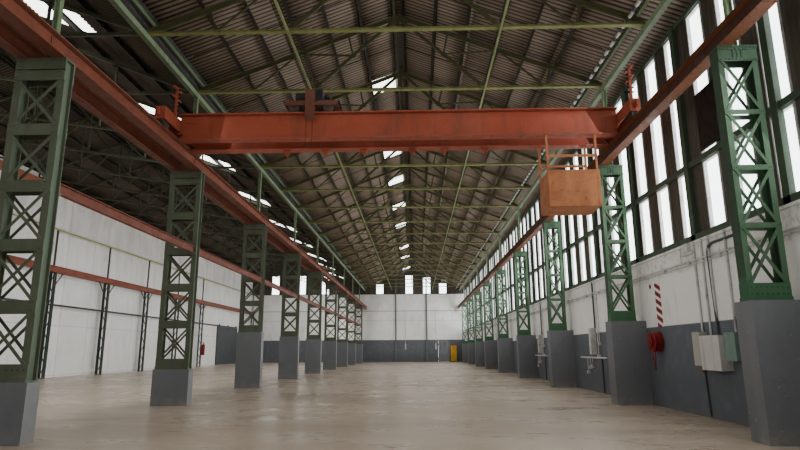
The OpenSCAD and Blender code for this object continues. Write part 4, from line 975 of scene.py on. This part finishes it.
def sill_runs(pipes):
    """Three runs under the sill, their clips, and short risers between them"""
    wall = WALL_PIPE_X
    for z, radius in ((SILL_Z - 0.035, 0.006), (SILL_Z - 0.2, 0.01), (SILL_Z - 0.235, 0.006)):
        pipes.tube((wall, INNER[0] + 0.1, z), (wall, INNER[1] - 0.1, z), radius)
    for i in range(int(HALL_L / CLIP_PITCH) - 1):
        y = 0.4 + i * CLIP_PITCH
        pipes.box((SIDE_X - 0.026, y, SILL_Z - 0.245), (SIDE_X - 0.001, y + 0.02, SILL_Z - 0.185))
        if i % 4 == 1:
            pipes.tube((wall, y + 0.2, SILL_Z - 0.2), (wall, y + 0.2, SILL_Z - 0.03), 0.006)


def near_fittings(pipes, dark, marks):
    """A bracket under the sill, with cables and small red fittings below it"""
    wall = WALL_PIPE_X
    pipes.box((SIDE_X - 0.03, 8.36, SILL_Z - 0.13), (SIDE_X - 0.001, 8.62, SILL_Z - 0.1))
    pipes.box((SIDE_X - 0.04, 8.44, SILL_Z - 0.1), (SIDE_X - 0.001, 8.54, SILL_Z - 0.01))
    upper = ((8.05, 0.78), (8.08, 1.58), (8.05, 1.63), (7.98, 1.65), (7.5, 1.65))
    pipe(dark, [(wall, y, z) for y, z in upper], 0.013)
    pipe(dark, [(wall, 8.4, 0.49), (wall, 8.39, 0.3), (wall, 8.37, 0.02)], 0.008)
    marks.tube((wall, 8.41, 0.43), (wall, 8.41, 0.49), 0.022)
    marks.box((SIDE_X - 0.03, 7.8, 0.6), (SIDE_X - 0.001, 7.84, 0.63))


def box_group(pipes, dark, y):
    """A switch box with a rail, drops and cables, in a bay further on"""
    wall = WALL_PIPE_X
    pipes.box((SIDE_X - 0.09, y - 0.05, 0.58), (SIDE_X - 0.001, y + 0.05, 0.99))
    pipes.tube((wall - 0.02, y + 0.75, 0.53), (wall - 0.02, y - 0.62, 0.53), 0.016)
    for dy, low, high in DROPS:
        at = y + dy
        pipes.tube((wall - 0.01, at, low), (wall - 0.01, at, high), 0.008)
        pipes.box((SIDE_X - 0.045, at - 0.022, low - 0.03), (SIDE_X - 0.002, at + 0.022, low + 0.02))
    dark.tube((wall, y - 0.3, 0.02), (wall, y - 0.3, 0.52), 0.01)
    dark.tube((wall, y - 0.06, 0.99), (wall, y - 0.06, 1.72), 0.012)


def make_wall_pipes():
    """The pipes, cables and marks along the side wall"""
    pipes, dark, marks, band = Shape(), Shape(), Shape(), Shape()
    sill_runs(pipes)
    near_fittings(pipes, dark, marks)
    for y in GROUP_YS:
        box_group(pipes, dark, y)
    band.box((SIDE_X - 0.003, FIT_Y - 0.62, 0.91), (SIDE_X - 0.0005, FIT_Y - 0.47, 1.42))
    marks.tube((SIDE_X - 0.002, FIT_Y - 0.34, 1.4), (SIDE_X - 0.0005, FIT_Y - 0.34, 1.4), 0.03, 16)
    pipes.make("wall_pipes", MATERIALS["conduits"], "galvanised_sheet")
    dark.make("wall_cables", MATERIALS["sliding_gate"], "dark_steel")
    band.make("striped_mark", make_stripes(), "hose_red")
    marks.make("red_fittings", MATERIALS["hose_reel"], "hose_red")


# Fittings at the far wall and in the aisle
CABINET_X = (2.2, 2.54)
CABINET_Z = (0.04, 0.91)
CABINET_D = 0.2
POST_FACE = AISLE_X + 0.27
EXTINGUISHER_Y = 28.52
EXTINGUISHER_R = 0.075


def make_cabinet():
    """A yellow cabinet with two doors, a lid and feet"""
    cabinet = Shape()
    y = INNER[1] - 0.03
    front = y - CABINET_D
    left, right = CABINET_X
    foot, top = CABINET_Z
    cabinet.box((left, front, foot), (right, y, top))
    for x in (left + 0.015, left + 0.175):
        cabinet.box((x, front - 0.006, foot + 0.02), (x + 0.15, front, top - 0.02))
    cabinet.box((left - 0.01, front - 0.01, top), (right + 0.01, y, top + 0.015))
    for x in (left + 0.02, right - 0.06):
        cabinet.box((x, front + 0.01, 0.001), (x + 0.04, y - 0.02, foot))
    yellow = old_paint("cabinet_yellow", (0.5, 0.27, 0.02), rust=0.3).material
    cabinet.make("yellow_cabinet", yellow, "yellow_green_paint")


def make_extinguisher():
    """A red bottle on the last wall post before the gate"""
    red = Shape()
    x = POST_FACE + 0.02 + EXTINGUISHER_R
    y = EXTINGUISHER_Y
    red.tube((x, y, 0.5), (x, y, 0.92), EXTINGUISHER_R, 16)
    red.tube((x, y, 0.92), (x, y, 0.98), EXTINGUISHER_R, 16, 0.03)
    red.tube((x, y, 0.98), (x, y, 1.05), 0.02)
    red.box((POST_FACE + 0.001, y - 0.03, 0.7), (x, y + 0.03, 0.78))
    red.make("extinguisher", MATERIALS["hose_reel"], "hose_red")


def make_end_wall_boxes():
    """Two white boxes on the far wall, each with its pipe"""
    white = Shape()
    for x in (-0.45, 1.32):
        white.box((x, INNER[1] - 0.04, 0.7), (x + 0.07, INNER[1] - 0.001, 1.05))
        white.tube((x + 0.035, INNER[1] - 0.02, 1.05), (x + 0.035, INNER[1] - 0.02, 2.9), 0.01)
    white.make("end_wall_boxes", MATERIALS["conduits"], "galvanised_sheet")


# Crane details
GIRDER_Z = (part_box("bridge_girders")[0].z + 0.09 - SLAB_TOP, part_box("bridge_girders")[1].z - 0.03 - SLAB_TOP)
GIRDER_YS = (CRANE_Y - 0.198, CRANE_Y + 0.198)
GIRDER_HALF_W = 0.075
GIRDER_FRONT = GIRDER_YS[0] - GIRDER_HALF_W
CLIP_FIRST_X = -2.34
CLIP_SPACING = 0.26
CLIP_COUNT = 19
MASTS = ((-2.7, -0.27), (2.7, -0.6))
CAB_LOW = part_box("cab")[0] - Vector((NAVE_X, LINE_0, SLAB_TOP))
CAB_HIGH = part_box("cab")[1] - Vector((NAVE_X, LINE_0, SLAB_TOP))
CAB_TOP = CAB_LOW.z + 0.434
CAB_MIDDLE_X = 2.08
STRAP_W = 0.03
CRAB_X = (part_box("crab_frame")[0].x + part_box("crab_frame")[1].x) / 2 - NAVE_X


def make_girder_details():
    """Bolts at the girders' ends, rail clips and two short rods in front"""
    steel = Shape()
    for side in (-1, 1):
        x = side * 2.56
        high = (x, GIRDER_FRONT + 0.002, GIRDER_Z[0] + 0.21)
        steel.tube(high, (x - side * 0.13, GIRDER_FRONT - 0.02, GIRDER_Z[0] + 0.19), 0.007)
        for y in GIRDER_YS:
            for dx in (0.0, 0.06):
                start = (x + side * dx, y - GIRDER_HALF_W + 0.012, GIRDER_Z[1])
                steel.rivets(start, (0, 0.03, 0), 5, (0, 0, 1))
    for i in range(CLIP_COUNT):
        x = CLIP_FIRST_X + i * CLIP_SPACING
        for girder_y in GIRDER_YS:
            for y in (girder_y - 0.025, girder_y + 0.025):
                steel.box((x - 0.012, y - 0.01, GIRDER_Z[1]), (x + 0.012, y + 0.01, GIRDER_Z[1] + 0.014))
    steel.make("girder_details", MATERIALS["bridge_girders"], "red_oxide", "crane")


def make_mast_insulators():
    """Pairs of insulator cones up both masts"""
    cones = Shape()
    for x, dy in MASTS:
        y = CRANE_Y + dy
        for i in range(6):
            z = GIRDER_Z[1] + 0.04 + i * 0.055
            for side in (-1, 1):
                cones.tube((x + side * 0.015, y, z), (x + side * 0.045, y, z), 0.012, 8, 0.006)
    cones.make("mast_insulators", MATERIALS["wall_boxes"], "box_beige", "crane")


def make_cab_edges():
    """Straps on the cab's corners, and riveted ones along its top and foot"""
    straps = Shape()
    for x in (CAB_LOW.x, CAB_HIGH.x):
        for y in (CAB_LOW.y, CAB_HIGH.y):
            x_in = x - STRAP_W if x > CAB_MIDDLE_X else x + STRAP_W
            y_in = y + 0.003 if y > CAB_LOW.y + 0.1 else y - 0.003
            straps.box((min(x_in, x), min(y, y_in), CAB_LOW.z), (max(x_in, x), max(y, y_in), CAB_TOP))
    for y in (CAB_LOW.y - 0.004, CAB_HIGH.y - 0.002):
        straps.box((CAB_LOW.x, y, CAB_TOP - 0.02), (CAB_HIGH.x, y + 0.006, CAB_TOP + 0.004))
        straps.box((CAB_LOW.x, y, CAB_LOW.z), (CAB_HIGH.x, y + 0.006, CAB_LOW.z + 0.022))
    for z in (CAB_TOP - 0.009, CAB_LOW.z + 0.011):
        straps.rivets((CAB_LOW.x + STRAP_W, CAB_LOW.y - 0.004, z), (0.054, 0, 0), 11, (0, -1, 0), 0.005)
    straps.make("cab_edges", MATERIALS["cab"], "cab_rust", "crane")


def make_crab_ropes():
    """Two ropes down the front of the girder"""
    ropes = Shape()
    y = GIRDER_FRONT - 0.02
    for dx in (-0.04, 0.035):
        ropes.tube((CRAB_X + dx, y, 3.44), (CRAB_X + dx, y, 3.02), 0.003, 6)
    ropes.make("crab_ropes", MATERIALS["crab_hoist"], "dark_steel", "crab")


make_nave_waves()
make_flashings()
make_aisle_waves()
make_skylight_waves()
make_side_frames()
make_outer_bars()
make_column_rivets()
make_runway_details()
make_insulator_line()
make_sag_bars()
make_reel_details()
make_wall_pipes()
make_cabinet()
make_extinguisher()
make_end_wall_boxes()
make_girder_details()
make_mast_insulators()
make_cab_edges()
make_crab_ropes()


# Camera, light and the plain floor outside
CAMERA_PLACE = hall(0.213, 2.4175, 0.657)
CAMERA_PITCH = math.radians(12.175)
CAMERA_YAW = math.radians(1.513)
CAMERA_ROLL = math.radians(-0.298)
CAMERA_LENS = 26.165


def make_camera():
    """The photograph's viewing angle"""
    data = bpy.data.cameras.new("camera")
    data.lens = CAMERA_LENS
    data.sensor_width = 36
    data.clip_start = 0.05
    data.clip_end = 200
    camera = bpy.data.objects.new("camera", data)
    show(camera)
    turn = Matrix.Rotation(CAMERA_YAW, 4, "Z") @ Matrix.Rotation(math.pi / 2 + CAMERA_PITCH, 4, "X")
    camera.matrix_world = Matrix.Translation(CAMERA_PLACE) @ turn @ Matrix.Rotation(CAMERA_ROLL, 4, "Z")
    bpy.context.scene.camera = camera


def soft_lamp(name, place, size, energy, turn=(0, 0, 0)):
    """A large soft lamp that neither the camera nor a glossy surface sees"""
    data = bpy.data.lights.new(name, "AREA")
    data.energy = energy
    data.shape = "RECTANGLE"
    data.size, data.size_y = size
    lamp = bpy.data.objects.new(name, data)
    lamp.location = place
    lamp.rotation_euler = turn
    lamp.visible_camera = False
    lamp.visible_glossy = False
    show(lamp)


# Each lamp's name, place across the hall, height, width, power and turn round the hall's length, in degrees
LAMP_ROWS = 5
LAMP_L = 6.5
LAMPS = (
    ("window_light", COLUMN_FACE - 0.1, 3.0, 2.0, 80, 62),
    ("roof_light", -0.4, 4.1, 3.5, 30, 0),
    ("floor_light", 0, 0.3, 4.5, 50, 180),
    ("aisle_light", -6.3, 4.0, 4.5, 60, 0),
    ("wall_light", -3.4, 2.2, 2.2, 110, 80),
    ("nave_light", -2.3, 2.4, 2.2, 35, -80),
)


def make_lights():
    """A pale sky, and the lamps in five rows along the hall"""
    world = bpy.data.worlds.new("sky")
    world.use_nodes = True
    sky = world.node_tree.nodes["Background"].inputs
    sky["Color"].default_value = (0.94, 0.97, 1.0, 1)
    sky["Strength"].default_value = 1.0
    bpy.context.scene.world = world
    for i in range(LAMP_ROWS):
        y = HALL_L * (i + 0.5) / LAMP_ROWS
        for name, x, z, width, energy, turn in LAMPS:
            soft_lamp("%s_%d" % (name, i), hall(x, y, z), (width, LAMP_L), energy, (0, math.radians(turn), 0))


def make_stage():
    """The plain pale floor outside"""
    data = bpy.data.meshes.new("stage_floor")
    reach = 60
    data.from_pydata([(-reach, -reach, -0.002), (reach, -reach, -0.002), (reach, reach, -0.002),
                      (-reach, reach, -0.002)], [], [(0, 1, 2, 3)])
    pale = bpy.data.materials.new("stage_pale")
    pale.use_nodes = True
    shader = pale.node_tree.nodes["Principled BSDF"]
    shader.inputs["Base Color"].default_value = (0.7, 0.7, 0.69, 1)
    shader.inputs["Roughness"].default_value = 0.9
    data.materials.append(pale)
    floor = bpy.data.objects.new("stage_floor", data)
    show(floor)


make_camera()
make_lights()
make_stage()
